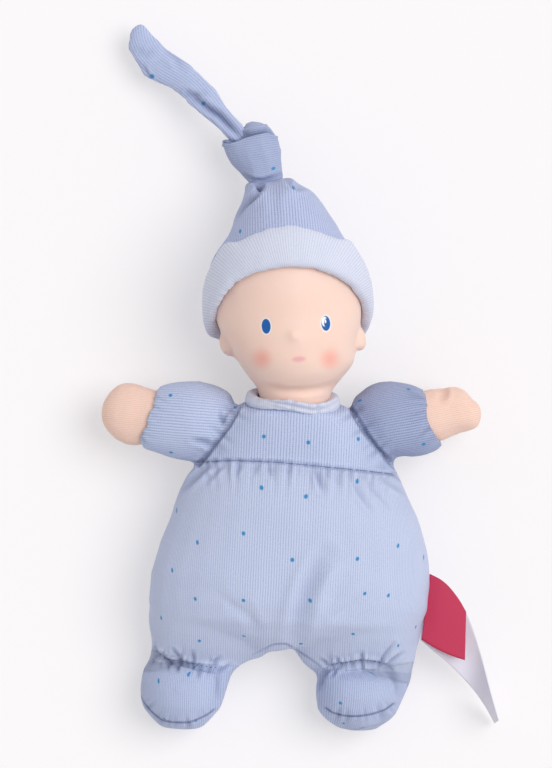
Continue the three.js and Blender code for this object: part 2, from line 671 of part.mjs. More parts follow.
/** The head's half width and depths at a height, zero past its top. */
function headSizes(y) {
  const up = (y - CHIN_RISE) / HEAD_HEIGHT;
  const above = HEAD_SHARES.findIndex((row) => row[0] >= up);
  if (above < 1) return { halfWidth: 0, face: 0, nape: 0 };
  const [a, b] = [HEAD_SHARES[above - 1], HEAD_SHARES[above]];
  const size = (k) => mix(a[k], b[k], (up - a[0]) / (b[0] - a[0]));
  return { halfWidth: HEAD_HALF_WIDTH * size(1), face: FACE_DEPTH * size(2), nape: NAPE_DEPTH * size(3) };
}

/** The cap's sizes at a share of the way up, moved out by ease and never smaller than the head. */
function crownStation([up, lean, width, front, back], ease) {
  const bottom = BRIM_RISE - BRIM_SLOPE * NAPE_DEPTH - CUFF_WIDTH / 2;
  const y = mix(bottom, CROWN_TOP_RISE + ease, up);
  const middle = CROWN_TOP_LEAN * lean;
  const drop = (CROWN_TOP_BACK * Math.max(0, up - CROWN_BEND_SHARE)) / (1 - CROWN_BEND_SHARE);
  const held = headSizes(y);
  const slack = up > CROWN_BEND_SHARE ? CAP_SLACK : 0;
  return {
    y,
    middle,
    seam: -drop,
    halfWidth: Math.max(HEAD_HALF_WIDTH * width, held.halfWidth + Math.abs(middle) + slack) + ease,
    front: Math.max(FACE_DEPTH * front, held.face + drop + slack) + ease,
    back: Math.max(NAPE_DEPTH * back, held.nape - drop + slack) + ease,
  };
}

/** The cap's round surface, moved out by ease from the head. */
function crownForm(ease, around) {
  return solid(loft(CROWN_SHARES.map((row) => {
    const s = crownStation(row, ease);
    return Array.from({ length: around }, (_, i) => {
      const angle = (i / around) * 2 * Math.PI;
      const depth = Math.sin(angle) >= 0 ? s.front : s.back;
      return point(s.middle + Math.cos(angle) * s.halfWidth, s.y, s.seam + Math.sin(angle) * depth);
    });
  })));
}

/** The block over the brim's sloped plane, which is higher over the face than at the nape. */
function aboveBrim(rise) {
  const block = new THREE.BoxGeometry(2 * REACH_X, REACH_Y, 2 * REACH_X);
  block.translate(0, REACH_Y / 2, 0);
  return placed(block, point(0, BRIM_RISE + rise, 0), new THREE.Euler(-Math.atan(BRIM_SLOPE), 0, 0));
}

/** The floor under the head, in the head's own frame, as a cutting block. */
function underFloor(floor) {
  const block = new THREE.BoxGeometry(2 * REACH_X, 2 * REACH_Y, REACH_Z);
  return placed(block, point(0, NECK_Y, floor - NECK_HEIGHT - REACH_Z / 2));
}

/** The cap: its crown, the turned-up cuff and the knot. */
function cap() {
  const crownEase = CAP_EASE + CLOTH;
  const crown = crownForm(crownEase, HEAD_AROUND).subtract(crownForm(CAP_EASE, HEAD_AROUND))
    .intersect(aboveBrim(0));
  return [
    meshOf('hat_crown', crown, JERSEY),
    cuff(crownEase + SEAM_GAP),
    meshOf('hat_knot', knot(), JERSEY),
  ];
}

/** The cuff, a soft band folded up over the crown's edge along the sloped brim. */
function cuff(ease) {
  const bumps = [[0, 0], [0.05, 0.6], [0.2, 0.95], [0.8, 0.95], [0.95, 0.6], [1, 0]];
  const surface = crownSurface(ease);
  const rings = Array.from({ length: RING_AROUND }, (_, r) => {
    const angle = (r / RING_AROUND) * 2 * Math.PI;
    const thickness = mix(CUFF_THICKNESS, CUFF_BACK_THICKNESS, Math.max(0, -Math.sin(angle)));
    const low = brimRise(angle);
    const at = (share, lift) => {
      const onCrown = surface(angle, low + share * CUFF_WIDTH);
      const away = point(Math.cos(angle), 0, Math.sin(angle));
      return onCrown.add(away.multiplyScalar(lift * thickness));
    };
    return [...bumps.map(([share, lift]) => at(share, lift)), at(1, -1), at(0, -1)];
  });
  const band = solid(hoop(rings)).subtract(crownForm(ease, HEAD_AROUND)).subtract(underFloor(0));
  return meshOf('hat_cuff', band, PALE_JERSEY);
}

/** The brim's height on the cap at an angle round the head, counted from the doll's left. */
function brimRise(angle) {
  const depth = Math.sin(angle) >= 0 ? FACE_DEPTH : NAPE_DEPTH;
  return BRIM_RISE + BRIM_SLOPE * depth * Math.sin(angle);
}

/** A function that gives the point on the cap's surface at an angle round the head and a height. */
function crownSurface(ease) {
  const stations = CROWN_SHARES.map((row) => crownStation(row, ease));
  return (angle, y) => {
    const above = Math.max(1, stations.findIndex((s) => s.y >= y));
    const [a, b] = [stations[above - 1], stations[above]];
    const share = (y - a.y) / (b.y - a.y);
    const size = (key) => mix(a[key], b[key], share);
    const depth = Math.sin(angle) >= 0 ? size('front') : size('back');
    const across = size('middle') + Math.cos(angle) * size('halfWidth');
    return point(across, y, size('seam') + Math.sin(angle) * depth);
  };
}

/** The middle of the knot. */
function knotMiddle() {
  return point(CROWN_TOP_LEAN, CROWN_TOP_RISE + CAP_EASE + CLOTH, -CROWN_TOP_BACK).add(point(...KNOT_OFFSET));
}

/** The place on the knot where the tail leaves it and swings. */
function tailRoot() {
  return knotMiddle().add(point(...KNOT_RADII.map((radius, k) => radius * KNOT_EXIT_SHARES[k])));
}

/** The overhand knot: a full barrel with one turn wrapped slantwise round it, and the tail's mouth. */
function knot() {
  const wrap = new THREE.TorusGeometry(KNOT_WRAP_RADIUS, KNOT_WRAP_TUBE, 6, 14);
  wrap.rotateX(Math.PI / 2);
  wrap.scale(1, 1, KNOT_RADII[2] / KNOT_RADII[0]);
  return ellipsoid(KNOT_RADII, knotMiddle(), 14, 8)
    .add(placed(wrap, knotMiddle(), new THREE.Euler(0, 0, -KNOT_WRAP_TILT)))
    .subtract(crownForm(CAP_EASE + CLOTH + SEAM_GAP, HEAD_AROUND))
    .subtract(ball(TAIL_ROOT_RADIUS + TAIL_ROOT_GAP, tailRoot()));
}

/** The cap's loose tail beyond the knot, a flattened tube with a round root and a rounded end. */
function tail() {
  const root = tailRoot();
  const line = TAIL_LINE_SHARES.map((shares) => root.clone().addScaledVector(point(...shares), TAIL_LENGTH));
  const rings = line.map((at, k) => {
    const before = line[Math.max(0, k - 1)];
    const after = line[Math.min(line.length - 1, k + 1)];
    const along = after.clone().sub(before).normalize();
    const across = along.clone().cross(point(0, 0, 1)).normalize();
    const upright = across.clone().cross(along);
    const halfWidth = TAIL_HALF_WIDTH * TAIL_WIDTH_SHARES[k];
    const halfThickness = TAIL_HALF_THICKNESS * Math.sqrt(TAIL_WIDTH_SHARES[k]);
    return Array.from({ length: TAIL_AROUND }, (_, i) => {
      const angle = (i / TAIL_AROUND) * 2 * Math.PI;
      return at.clone()
        .addScaledVector(across, Math.cos(angle) * halfWidth)
        .addScaledVector(upright, Math.sin(angle) * halfThickness);
    });
  });
  const flat = TAIL_HALF_THICKNESS / TAIL_ROOT_RADIUS;
  const end = ellipsoid([TAIL_ROOT_RADIUS, TAIL_ROOT_RADIUS, TAIL_ROOT_RADIUS * flat], root, 12, 8);
  return meshOf('hat_tail', solid(loft(rings)).add(end), JERSEY);
}

/** The sleeve's form: a round root that opens into a tapered puff, its surface moved in by inset. */
function sleeveForm(inset, around, length) {
  const radius = SLEEVE_ROOT_RADIUS - inset;
  const rings = [];
  const domeSteps = 4;
  for (let k = 1; k <= domeSteps; k += 1) {
    const polar = (k / domeSteps) * (Math.PI / 2);
    rings.push(circleRing(-radius * Math.cos(polar), radius * Math.sin(polar), around));
  }
  SLEEVE_SHARES.forEach(([along, close]) => {
    const outer = mix(SLEEVE_ROOT_RADIUS, CUFF_OPENING + CLOTH, close) - inset;
    rings.push(circleRing(along * length, outer, around));
  });
  return solid(loft(rings));
}

/** A circle of points round the y axis. */
function circleRing(y, radius, around, flatten = 1) {
  return Array.from({ length: around }, (_, i) => {
    const angle = (i / around) * 2 * Math.PI;
    return point(radius * Math.cos(angle), y, radius * flatten * Math.sin(angle));
  });
}

/** An arm in its own frame, from the middle of the sleeve's root out along +Y. */
function arm(side) {
  const open = SLEEVE_LENGTH + HAND_SEAT;
  const skin = sleeveForm(0, SLEEVE_AROUND, SLEEVE_LENGTH).subtract(sleeveForm(CLOTH, SLEEVE_AROUND, open));
  const fillingEnd = SLEEVE_LENGTH - HAND_SEAT - SEAM_GAP;
  const filling = sleeveForm(CLOTH + SEAM_GAP, SLEEVE_AROUND, SLEEVE_LENGTH).subtract(handRoom(fillingEnd));
  const group = new THREE.Group();
  group.add(
    meshOf(`${side.name}_sleeve`, skin, JERSEY),
    meshOf(`${side.name}_arm_filling`, filling, FILLING),
    hand(side),
  );
  const along = point(side.sign * Math.cos(side.raise), Math.sin(side.raise), -Math.tan(ARM_DROOP));
  along.normalize();
  const across = along.clone().cross(point(0, 0, 1)).normalize();
  const matrix = new THREE.Matrix4().makeBasis(across, along, across.clone().cross(along));
  group.quaternion.setFromRotationMatrix(matrix);
  group.position.copy(shoulder(side));
  return group;
}

/** The block beyond a distance along the arm. */
function handRoom(start) {
  const block = new THREE.BoxGeometry(2 * OVERRUN, 2 * OVERRUN, 2 * OVERRUN);
  return placed(block, point(0, start + OVERRUN, 0));
}

/** The stuffed hand, seated in the sleeve's cuff. */
function hand(side) {
  const start = SLEEVE_LENGTH - HAND_SEAT;
  const seat = CUFF_OPENING - 2 * SEAM_GAP;
  const rings = [start, SLEEVE_LENGTH].map((y) => circleRing(y, seat, HAND_AROUND));
  const grown = Math.min(seat, HAND_HALF_WIDTH);
  HAND_SHARES.forEach(([along, width, depth], k) => {
    const y = SLEEVE_LENGTH + SEAM_GAP + HAND_LENGTH * along;
    const halfWidth = k === 0 ? grown : HAND_HALF_WIDTH * width;
    const halfDepth = k === 0 ? grown : HAND_HALF_DEPTH * depth;
    rings.push(circleRing(y, halfWidth, HAND_AROUND, halfDepth / halfWidth));
  });
  let shape = solid(loft(rings));
  if (side.name === 'left') {
    const thumb = point(-THUMB_OUT, SLEEVE_LENGTH + HAND_LENGTH * THUMB_ALONG_SHARE, 0);
    shape = shape.add(ellipsoid(THUMB_RADII, thumb, 12, 8));
  }
  return meshOf(`${side.name}_hand`, shape, SKIN_JERSEY);
}

/**
 * A strip of tape whose middle runs along a line, with a width direction for each point. Its two broad
 * faces are cut along the same diagonals, so that a twisted strip keeps its thickness.
 */
function tape(line, widths) {
  const points = line.flatMap((at, k) => {
    const before = line[Math.max(0, k - 1)];
    const after = line[Math.min(line.length - 1, k + 1)];
    const along = after.clone().sub(before).normalize();
    const half = widths[k].clone().multiplyScalar(LABEL_WIDTH / 2);
    const thick = along.clone().cross(widths[k]).normalize().multiplyScalar(LABEL_THICKNESS / 2);
    const corner = (w, t) => at.clone().addScaledVector(half, w).addScaledVector(thick, t);
    return [corner(-1, -1), corner(1, -1), corner(1, 1), corner(-1, 1)];
  });
  const last = points.length - 4;
  const faces = [1, 0, 3, 1, 3, 2, last, last + 1, last + 2, last, last + 2, last + 3];
  for (let k = 0; k < last; k += 4) {
    const [a, b, c, d] = [k, k + 1, k + 2, k + 3];
    const [e, f, g, h] = [k + 4, k + 5, k + 6, k + 7];
    faces.push(a, b, f, a, f, e, d, g, c, d, h, g, b, c, g, b, g, f, a, e, h, a, h, d);
  }
  return solid(closedGeometry(points, faces));
}

/** The short crimson label and the long white care label, sewn into the left side seam. */
function labels() {
  const rootX = BAG_HALF_WIDTH + LABEL_CLEARANCE;
  const rootY = -LABEL_TOP_DROP - LABEL_WIDTH / 2;
  const rootZ = SIDE_SEAM_HEIGHT;
  const lift = LABEL_THICKNESS + SEAM_GAP;
  const sideShares = [0, 0.35, 0.7, 1];
  const sideLine = sideShares.map((share) => point(
    rootX + SIDE_LABEL_LENGTH * share, rootY - SIDE_LABEL_DROP * share ** LABEL_BEND,
    rootZ + lift + lift * share));
  const sideWidths = sideShares.map((share) => point(0, mix(1, LABEL_END_SHARE, share), 0));
  const careShares = [0, 0.15, 0.3, 0.45, 0.6, 0.75, 0.9, 1];
  const careLine = careShares.map((share) => point(
    rootX + CARE_LABEL_LENGTH * share, rootY - CARE_LABEL_DROP * share ** LABEL_BEND,
    rootZ - CARE_LABEL_FALL * share));
  const careWidths = careShares.map((share) => {
    const turn = CARE_LABEL_TWIST * Math.max(0, 2 * share - 1);
    return point(Math.sin(turn) * CARE_LABEL_SLANT_SHARE, Math.cos(turn), Math.sin(turn)).normalize()
      .multiplyScalar(mix(1, LABEL_END_SHARE, share));
  });
  return [
    meshOf('side_label', tape(sideLine, sideWidths), CRIMSON_TAPE),
    meshOf('care_label', tape(careLine, careWidths), WHITE_TAPE),
  ];
}

const doll = new THREE.Group();
doll.add(...torso(), collar());
SIDES.forEach((side) => doll.add(...legAndFoot(side), arm(side)));
doll.add(...labels());

const headGroup = new THREE.Group();
headGroup.position.set(NECK_X, NECK_Y, NECK_HEIGHT);
headGroup.rotation.z = HEAD_LEAN;
headGroup.add(head(), neckTie(), ...cap(), tail());
doll.add(headGroup);

export default doll;
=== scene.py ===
"""A rubber-headed stuffed doll lying on its back, in a gathered jersey romper and a knotted cap."""

import logging
import math
from dataclasses import dataclass, field, replace
from enum import Enum
from typing import Sequence

import bmesh
import bpy
import numpy as np
from mathutils import Matrix, Vector
from mathutils.bvhtree import BVHTree


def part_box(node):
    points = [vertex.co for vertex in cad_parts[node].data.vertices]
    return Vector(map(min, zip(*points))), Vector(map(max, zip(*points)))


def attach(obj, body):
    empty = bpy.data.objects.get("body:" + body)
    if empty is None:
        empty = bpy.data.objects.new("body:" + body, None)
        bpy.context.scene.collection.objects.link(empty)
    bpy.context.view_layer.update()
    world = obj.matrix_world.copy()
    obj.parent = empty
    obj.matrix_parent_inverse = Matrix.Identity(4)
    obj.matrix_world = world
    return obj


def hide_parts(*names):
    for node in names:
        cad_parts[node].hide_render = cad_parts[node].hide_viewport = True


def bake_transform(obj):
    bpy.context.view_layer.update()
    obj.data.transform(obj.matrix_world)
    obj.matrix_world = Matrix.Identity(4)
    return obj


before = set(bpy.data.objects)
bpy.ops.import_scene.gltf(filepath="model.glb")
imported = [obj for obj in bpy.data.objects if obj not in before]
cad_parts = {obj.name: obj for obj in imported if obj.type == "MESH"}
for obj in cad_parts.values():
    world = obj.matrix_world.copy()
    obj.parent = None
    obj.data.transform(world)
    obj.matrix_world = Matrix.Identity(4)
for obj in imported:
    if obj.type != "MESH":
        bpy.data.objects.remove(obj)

MM = 0.001
KNIT_MAP = "Knit"
# The mesh attribute that carries painted shade: colour darkened in folds and seam grooves, where shade falls.
FOLD_ATTRIBUTE = "Fold"
LOG = logging.getLogger("doll")
FRONT = Vector((0, 0, 1))
# A face that looks up less than this, as the Z of its normal, is taken to be edge-on and isn't pressed.
EDGE_ON = 0.02

Line = Sequence[tuple[float, float]]


class Side(Enum):
    """The doll's own right and left, with the sign that each has along X."""

    RIGHT = -1
    LEFT = 1

    @property
    def word(self) -> str:
        """The side's name as the frame's nodes and bodies spell it."""
        return self.name.lower()


def linear(code: str) -> tuple[float, float, float, float]:
    """Turns an sRGB hex colour into the linear colour that a shader takes.

    Args:
        code: the colour, such as "#c3cae4".

    Returns:
        Red, green, blue and an alpha of 1.
    """
    shares = [int(code[i : i + 2], 16) / 255 for i in (1, 3, 5)]
    red, green, blue = (s / 12.92 if s <= 0.04045 else ((s + 0.055) / 1.055) ** 2.4 for s in shares)
    return red, green, blue, 1.0


def add_node(tree: bpy.types.NodeTree, kind: str, inputs: dict | None = None, **settings) -> bpy.types.Node:
    """Adds a node, sets its properties, and fills or links its inputs.

    Args:
        tree: the material's or world's node tree.
        kind: the node's Blender name, without the ShaderNode that each starts with.
        inputs: for each input by name or number a value, a socket to link, or a node, whose first output
            is linked.
        **settings: the node's own properties.

    Returns:
        The new node.
    """
    node = tree.nodes.new("ShaderNode" + kind)
    for key, value in settings.items():
        setattr(node, key, value)
    for key, value in (inputs or {}).items():
        if isinstance(value, bpy.types.Node):
            value = value.outputs[0]
        if isinstance(value, bpy.types.NodeSocket):
            tree.links.new(value, node.inputs[key])
        else:
            node.inputs[key].default_value = value
    return node


def new_material(name: str, look: dict) -> tuple[bpy.types.Material, bpy.types.NodeTree, bpy.types.Node]:
    """Makes a node material.

    Args:
        name: the material's name.
        look: the values of the shader's own sockets.

    Returns:
        The material, its node tree and its Principled shader.
    """
    material = bpy.data.materials.new(name)
    material.use_nodes = True
    tree = material.node_tree
    shader = tree.nodes["Principled BSDF"]
    for socket, value in look.items():
        shader.inputs[socket].default_value = value
    return material, tree, shader


def new_object(name: str, data: bpy.types.ID) -> bpy.types.Object:
    """Makes an object and puts it in the scene."""
    thing = bpy.data.objects.new(name, data)
    bpy.context.scene.collection.objects.link(thing)
    return thing


def moved(points: np.ndarray, matrix: Matrix) -> np.ndarray:
    """Takes points through a matrix."""
    turn = np.array(matrix)
    return points @ turn[:3, :3].T + turn[:3, 3]


def eased(values: np.ndarray) -> np.ndarray:
    """Clips values to 0 and 1 and eases both ends."""
    share = np.clip(values, 0, 1)
    return share * share * (3 - 2 * share)


def nearest(points: np.ndarray, line: Line) -> tuple[np.ndarray, np.ndarray, np.ndarray]:
    """Measures points against a line drawn in the XY plane.

    Args:
        points: the points, in metres; only X and Y count.
        line: the line's corners in millimetres.

    Returns:
        For each point its distance, how far along the line its foot lies, and on which side it is.
    """
    corners = np.array(line, float) * MM
    spot = points[:, :2]
    best = np.full(len(points), np.inf)
    along = np.zeros(len(points))
    side = np.zeros(len(points))
    walked = 0.0
    for start, end in zip(corners[:-1], corners[1:]):
        leg = end - start
        length = float(np.hypot(*leg))
        share = np.clip((spot - start) @ leg / length**2, 0, 1)
        gap = spot - (start + share[:, None] * leg)
        distance = np.hypot(gap[:, 0], gap[:, 1])
        closer = distance < best
        best[closer] = distance[closer]
        along[closer] = walked + share[closer] * length
        side[closer] = np.sign(leg[0] * gap[closer, 1] - leg[1] * gap[closer, 0])
        walked += length
    return best, along, side


def resampled(line: Line, step: float) -> np.ndarray:
    """Walks along a smooth curve through a line's corners.

    Args:
        line: the corners in millimetres.
        step: the distance between the points that are returned, in millimetres.

    Returns:
        Points in millimetres.
    """
    corners = np.array(line, float)
    for _ in range(3):
        first, last = corners[:1], corners[-1:]
        lower = 0.75 * corners[:-1] + 0.25 * corners[1:]
        upper = 0.25 * corners[:-1] + 0.75 * corners[1:]
        inner = np.stack([lower, upper], axis=1).reshape(-1, corners.shape[1])
        corners = np.vstack([first, inner, last])
    walked = np.concatenate([[0], np.cumsum(np.linalg.norm(np.diff(corners, axis=0), axis=1))])
    spots = np.linspace(0, walked[-1], max(2, int(walked[-1] / step) + 1))
    return np.stack([np.interp(spots, walked, corners[:, i]) for i in range(corners.shape[1])], axis=1)


@dataclass(frozen=True)
class Crease:
    """A fold or a seam's groove, pressed into the front of a soft piece.

    Attributes:
        line: the fold's corners in XY, in millimetres.
        depth: how deep it is at most, in millimetres.
        width: how far its flank reaches, in millimetres.
        rim: how far the cloth swells beside it, in millimetres.
        dark: how much painted shade darkens its colour, from 0 to 1.
        through: whether its ends stay deep, as a seam's do, instead of running out.
        back: whether it lies on the back instead of the front.
    """

    line: Line
    depth: float
    width: float
    rim: float = 0.0
    dark: float = 0.0
    through: bool = False
    back: bool = False

    # As shares of the width: the press's reach, the rim's place and spread, and the painted shade's reach.
    REACH = 3.2
    RIM_PLACE = 1.7
    RIM_SPREAD = 0.5
    SHADE_SHARE = 0.75
    # Where along the fold its end counts as reached, and how squarely a face must look up to be pressed fully.
    END = 0.04
    TURNING = 0.35

    def press(self, surface: "Surface", normals: np.ndarray) -> None:
        """Moves the surface's points and paints shade into its colour along the fold."""
        distance, along, _ = nearest(surface.points, self.line)
        facing = -normals[:, 2] if self.back else normals[:, 2]
        near = (distance < self.REACH * self.width * MM) & (facing > EDGE_ON)
        if not near.any():
            return
        share = np.clip(along[near] / along.max(), self.END, 1 - self.END)
        ends = 1.0 if self.through else np.sqrt(np.sin(math.pi * share))
        reach = distance[near] / (self.width * MM)
        groove = np.exp(-(reach**2)) * self.depth
        swell = np.exp(-((reach - self.RIM_PLACE) ** 2) / self.RIM_SPREAD) * self.rim
        strength = ends * eased(facing[near] / self.TURNING)
        surface.points[near] += normals[near] * ((swell - groove) * strength * MM)[:, None]
        # Painted shade: the colour darkens along the groove, where shade falls.
        shade = np.exp(-((reach / self.SHADE_SHARE) ** 2)) * self.dark * strength
        surface.fold[near] = np.maximum(surface.fold[near], shade)


@dataclass(frozen=True)
class Gather:
    """Cloth drawn up along a seam or a running thread, in small folds square to it.

    Attributes:
        line: the seam's corners in XY, in millimetres.
        pitch: the mean distance from fold to fold, in millimetres.
        depth: the folds' height at the seam, in millimetres.
        reach: how far the folds run from the seam on its left and on its right side, in millimetres.
        seed: what the folds' uneven places are drawn from.
        back: whether it lies on the back instead of the front.
    """

    line: Line
    pitch: float
    depth: float
    reach: tuple[float, float]
    seed: int
    back: bool = False

    # The waves added up, as shares of the pitch, then their height, and where the painted shade is deepest.
    PITCHES = (0.61, 0.83, 1.0, 1.37)
    HEIGHT = 0.45
    DEEPEST = 1.6
    SHADE = 0.3

    def press(self, surface: "Surface", normals: np.ndarray) -> None:
        """Raises the folds on the surface's points."""
        distance, along, side = nearest(surface.points, self.line)
        reach = np.where(side > 0, self.reach[0], self.reach[1]) * MM
        facing = -normals[:, 2] if self.back else normals[:, 2]
        near = (distance < 2.5 * reach) & (facing > EDGE_ON)
        if not near.any():
            return
        draw = np.random.default_rng(self.seed)
        wave = np.zeros(int(near.sum()))
        for share in self.PITCHES:
            phase = draw.uniform(0, math.tau)
            turn = math.tau * along[near] / (self.pitch * MM * share)
            wave += draw.uniform(0.5, 1.0) * np.sin(turn + phase)
        from_end = np.minimum(along, along.max() - along)[near]
        fade = np.exp(-((distance[near] / reach[near]) ** 2) * 1.6) * eased(facing[near] / 0.4)
        fade *= eased(from_end / (0.8 * self.pitch * MM))
        surface.points[near] += normals[near] * (wave * self.HEIGHT * self.depth * MM * fade)[:, None]
        # Painted shade in the hollows between the gathered folds.
        deep = np.clip(-wave, 0, self.DEEPEST) / self.DEEPEST
        surface.fold[near] = np.maximum(surface.fold[near], self.SHADE * deep * fade)


@dataclass(frozen=True)
class Nudge:
    """A soft push that moves one place of a piece and fades out round it.

    Attributes:
        centre: the place in XY, in millimetres.
        reach: how far the push goes along X and along Y, in millimetres.
        shift: the move itself, in millimetres.
    """

    centre: tuple[float, float]
    reach: tuple[float, float]
    shift: tuple[float, float, float]

    def push(self, surface: "Surface") -> None:
        """Moves the surface's points."""
        away = (surface.points[:, :2] / MM - np.array(self.centre)) / np.array(self.reach)
        weight = np.exp(-(away**2).sum(axis=1))
        surface.points += weight[:, None] * np.array(self.shift) * MM


@dataclass(frozen=True)
class Grain:
    """How the knit lies on a piece.

    Attributes:
        across: each point's place across the wales: an angle where there is a radius, or else metres.
        along: its place along the wales, in metres.
        radius: what turns the angle into metres, for each point, or 1.
        period: after how much the place across starts again, or 0.
    """

    across: np.ndarray
    along: np.ndarray
    radius: np.ndarray | float = 1.0
    period: float = 0.0

    def corners(self, faces: np.ndarray) -> np.ndarray:
        """The place across and along the knit at each face's corners, in metres."""
        across = self.across[faces]
        if self.period:
            high = across.max(axis=1, keepdims=True)
            wraps = high - across.min(axis=1, keepdims=True) > self.period / 2
            across = np.where(wraps & (across < high - self.period / 2), across + self.period, across)
        radius = self.radius[faces] if isinstance(self.radius, np.ndarray) else self.radius
        return np.stack([across * radius, self.along[faces]], axis=-1)


@dataclass
class Surface:
    """A piece's skin in the making, in metres.

    Attributes:
        points: one row for each point.
        faces: the four points of each face.
        fold: the painted shade at each point, deepest in a fold or a seam, from 0 to 1.
        shade: the normals that the finished piece is shaded with.
    """

    points: np.ndarray
    faces: np.ndarray
    fold: np.ndarray
    shade: np.ndarray | None = None

    def normals(self) -> np.ndarray:
        """Works out each point's outward normal from the faces round it."""
        corner = self.points[self.faces]
        across = np.cross(corner[:, 2] - corner[:, 0], corner[:, 3] - corner[:, 1])
        total = np.zeros_like(self.points)
        for column in range(4):
            np.add.at(total, self.faces[:, column], across)
        length = np.linalg.norm(total, axis=1, keepdims=True)
        return total / np.maximum(length, 1e-12)

    def press(self, marks: Sequence[Crease | Gather]) -> None:
        """Presses creases and gathers into the surface, all from the same starting normals."""
        normals = self.normals()
        for mark in marks:
            mark.press(self, normals)

    def nudge(self, pushes: Sequence[Nudge]) -> None:
        """Pushes the surface at several places, one after the other."""
        for push in pushes:
            push.push(self)

    def lump(self, height: float, size: float, seed: int) -> None:
        """Swells the surface unevenly, as loose fibre behind cloth does.

        Args:
            height: the lumps' height in millimetres.
            size: the lumps' mean distance in millimetres.
            seed: what their places are drawn from.
        """
        draw = np.random.default_rng(seed)
        total = np.zeros(len(self.points))
        for _ in range(7):
            direction = draw.normal(size=3)
            direction /= np.linalg.norm(direction)
            wave = math.tau / (size * MM * draw.uniform(0.7, 1.6))
            total += np.sin(self.points @ direction * wave + draw.uniform(0, math.tau))
        self.points += self.normals() * (total * height * MM / 3.5)[:, None]

    def relax(self, rounds: int, firm: Sequence[tuple[tuple[float, float], float]] = ()) -> None:
        """Smooths the surface, and spares some places.

        Args:
            rounds: how many times each point moves half way to the middle of its neighbours.
            firm: the places that keep their form, each a point in XY and a radius in millimetres.
        """
        weight = np.ones(len(self.points))
        for centre, radius in firm:
            gap = np.hypot(*(self.points[:, :2] / MM - np.array(centre)).T)
            weight = np.minimum(weight, eased(gap / radius - 0.6))
        count = np.bincount(self.faces.ravel(), minlength=len(self.points)) * 2
        for _ in range(rounds):
            total = np.zeros_like(self.points)
            for column in range(4):
                for step in (1, 3):
                    other = self.points[self.faces[:, (column + step) % 4]]
                    for axis in range(3):
                        total[:, axis] += np.bincount(
                            self.faces[:, column], weights=other[:, axis], minlength=len(self.points)
                        )
            middle = total / count[:, None]
            self.points += 0.5 * weight[:, None] * (middle - self.points)

    def settle(self) -> None:
        """Keeps the normals of the whole surface, so that pieces cut from it show no edge."""
        self.shade = self.normals()

    def part(self, chosen: np.ndarray) -> "Surface":
        """Cuts some faces out as a surface of their own.

        Args:
            chosen: True for each face that is kept.

        Returns:
            The new surface, with the shading of the whole.
        """
        faces = self.faces[chosen]
        used, renumbered = np.unique(faces, return_inverse=True)
        shade = None if self.shade is None else self.shade[used]
        return Surface(self.points[used], renumbered.reshape(faces.shape), self.fold[used], shade)

    def centres(self) -> np.ndarray:
        """The middle of each face."""
        return self.points[self.faces].mean(axis=1)

    def tree(self) -> BVHTree:
        """A search tree of the faces, for finding the surface under a seam or a stitch."""
        return BVHTree.FromPolygons(self.points.tolist(), self.faces.tolist())

    def make(self, name: str, material: bpy.types.Material, grain: Grain | None = None) -> bpy.types.Object:
        """Turns the surface into a smooth-shaded object.

        Args:
            name: the piece's name.
            material: its finish.
            grain: how its knit lies.

        Returns:
            The new object.
        """
        mesh = bpy.data.meshes.new(name)
        mesh.from_pydata(self.points.tolist(), [], self.faces.tolist())
        mesh.shade_smooth()
        fold = mesh.attributes.new(FOLD_ATTRIBUTE, "FLOAT", "POINT")
        fold.data.foreach_set("value", self.fold.astype(np.float32))
        if grain:
            layer = mesh.uv_layers.new(name=KNIT_MAP)
            layer.data.foreach_set("uv", grain.corners(self.faces).reshape(-1).astype(np.float32))
        if self.shade is not None:
            mesh.normals_split_custom_set_from_vertices(self.shade.tolist())
        mesh.materials.append(material)
        return new_object(name, mesh)


def round_grain(points: np.ndarray, origin: Vector, axis: Vector, front: Vector) -> Grain:
    """Lays the knit round an axis, with its join at the back and its wales alike wide from end to end.

    Args:
        points: the points, in metres.
        origin: a point on the axis.
        axis: the direction in which the wales run.
        front: the direction that the middle of the cloth faces.

    Returns:
        How the knit lies.
    """
    along = np.array(axis.normalized())
    ahead = np.array((front - axis.normalized() * front.dot(axis.normalized())).normalized())
    aside = np.cross(along, ahead)
    spot = points - np.array(origin)
    angle = np.arctan2(spot @ aside, spot @ ahead)
    return Grain(angle, spot @ along, np.hypot(spot @ aside, spot @ ahead), math.tau)


def arm_grain(points: np.ndarray, node: str, side: Side) -> Grain:
    """Lays the knit round an arm, whose axis rises a little in the front view and dips to the floor.

    Args:
        points: the points, in metres.
        node: the frame's solid whose middle the axis goes through.
        side: which arm it is.

    Returns:
        How the knit lies.
    """
    rise = math.radians(13 if side is Side.LEFT else 2)
    axis = Vector((side.value * math.cos(rise), math.sin(rise), -math.tan(math.radians(8))))
    low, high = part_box(node)
    return round_grain(points, (low + high) / 2, axis, FRONT)


def fan_grain(points: np.ndarray, centre: Vector, radius: float) -> Grain:
    """Fans the wales out from a point in the front view.

    Args:
        points: the points, in metres.
        centre: where the wales would meet.
        radius: the distance from there at which they have their true pitch, in metres.

    Returns:
        How the knit lies.
    """
    spot = points[:, :2] - np.array(centre)[:2]
    return Grain(np.arctan2(spot[:, 0], spot[:, 1]), np.hypot(*spot.T), radius, math.tau)


def strip_grain(points: np.ndarray, line: Line) -> Grain:
    """Lays the knit along a line, so that its wales follow the line's bends.

    Args:
        points: the points, in metres.
        line: the line's corners in XY, in millimetres.

    Returns:
        How the knit lies.
    """
    distance, along, side = nearest(points, line)
    return Grain(distance * side, along)


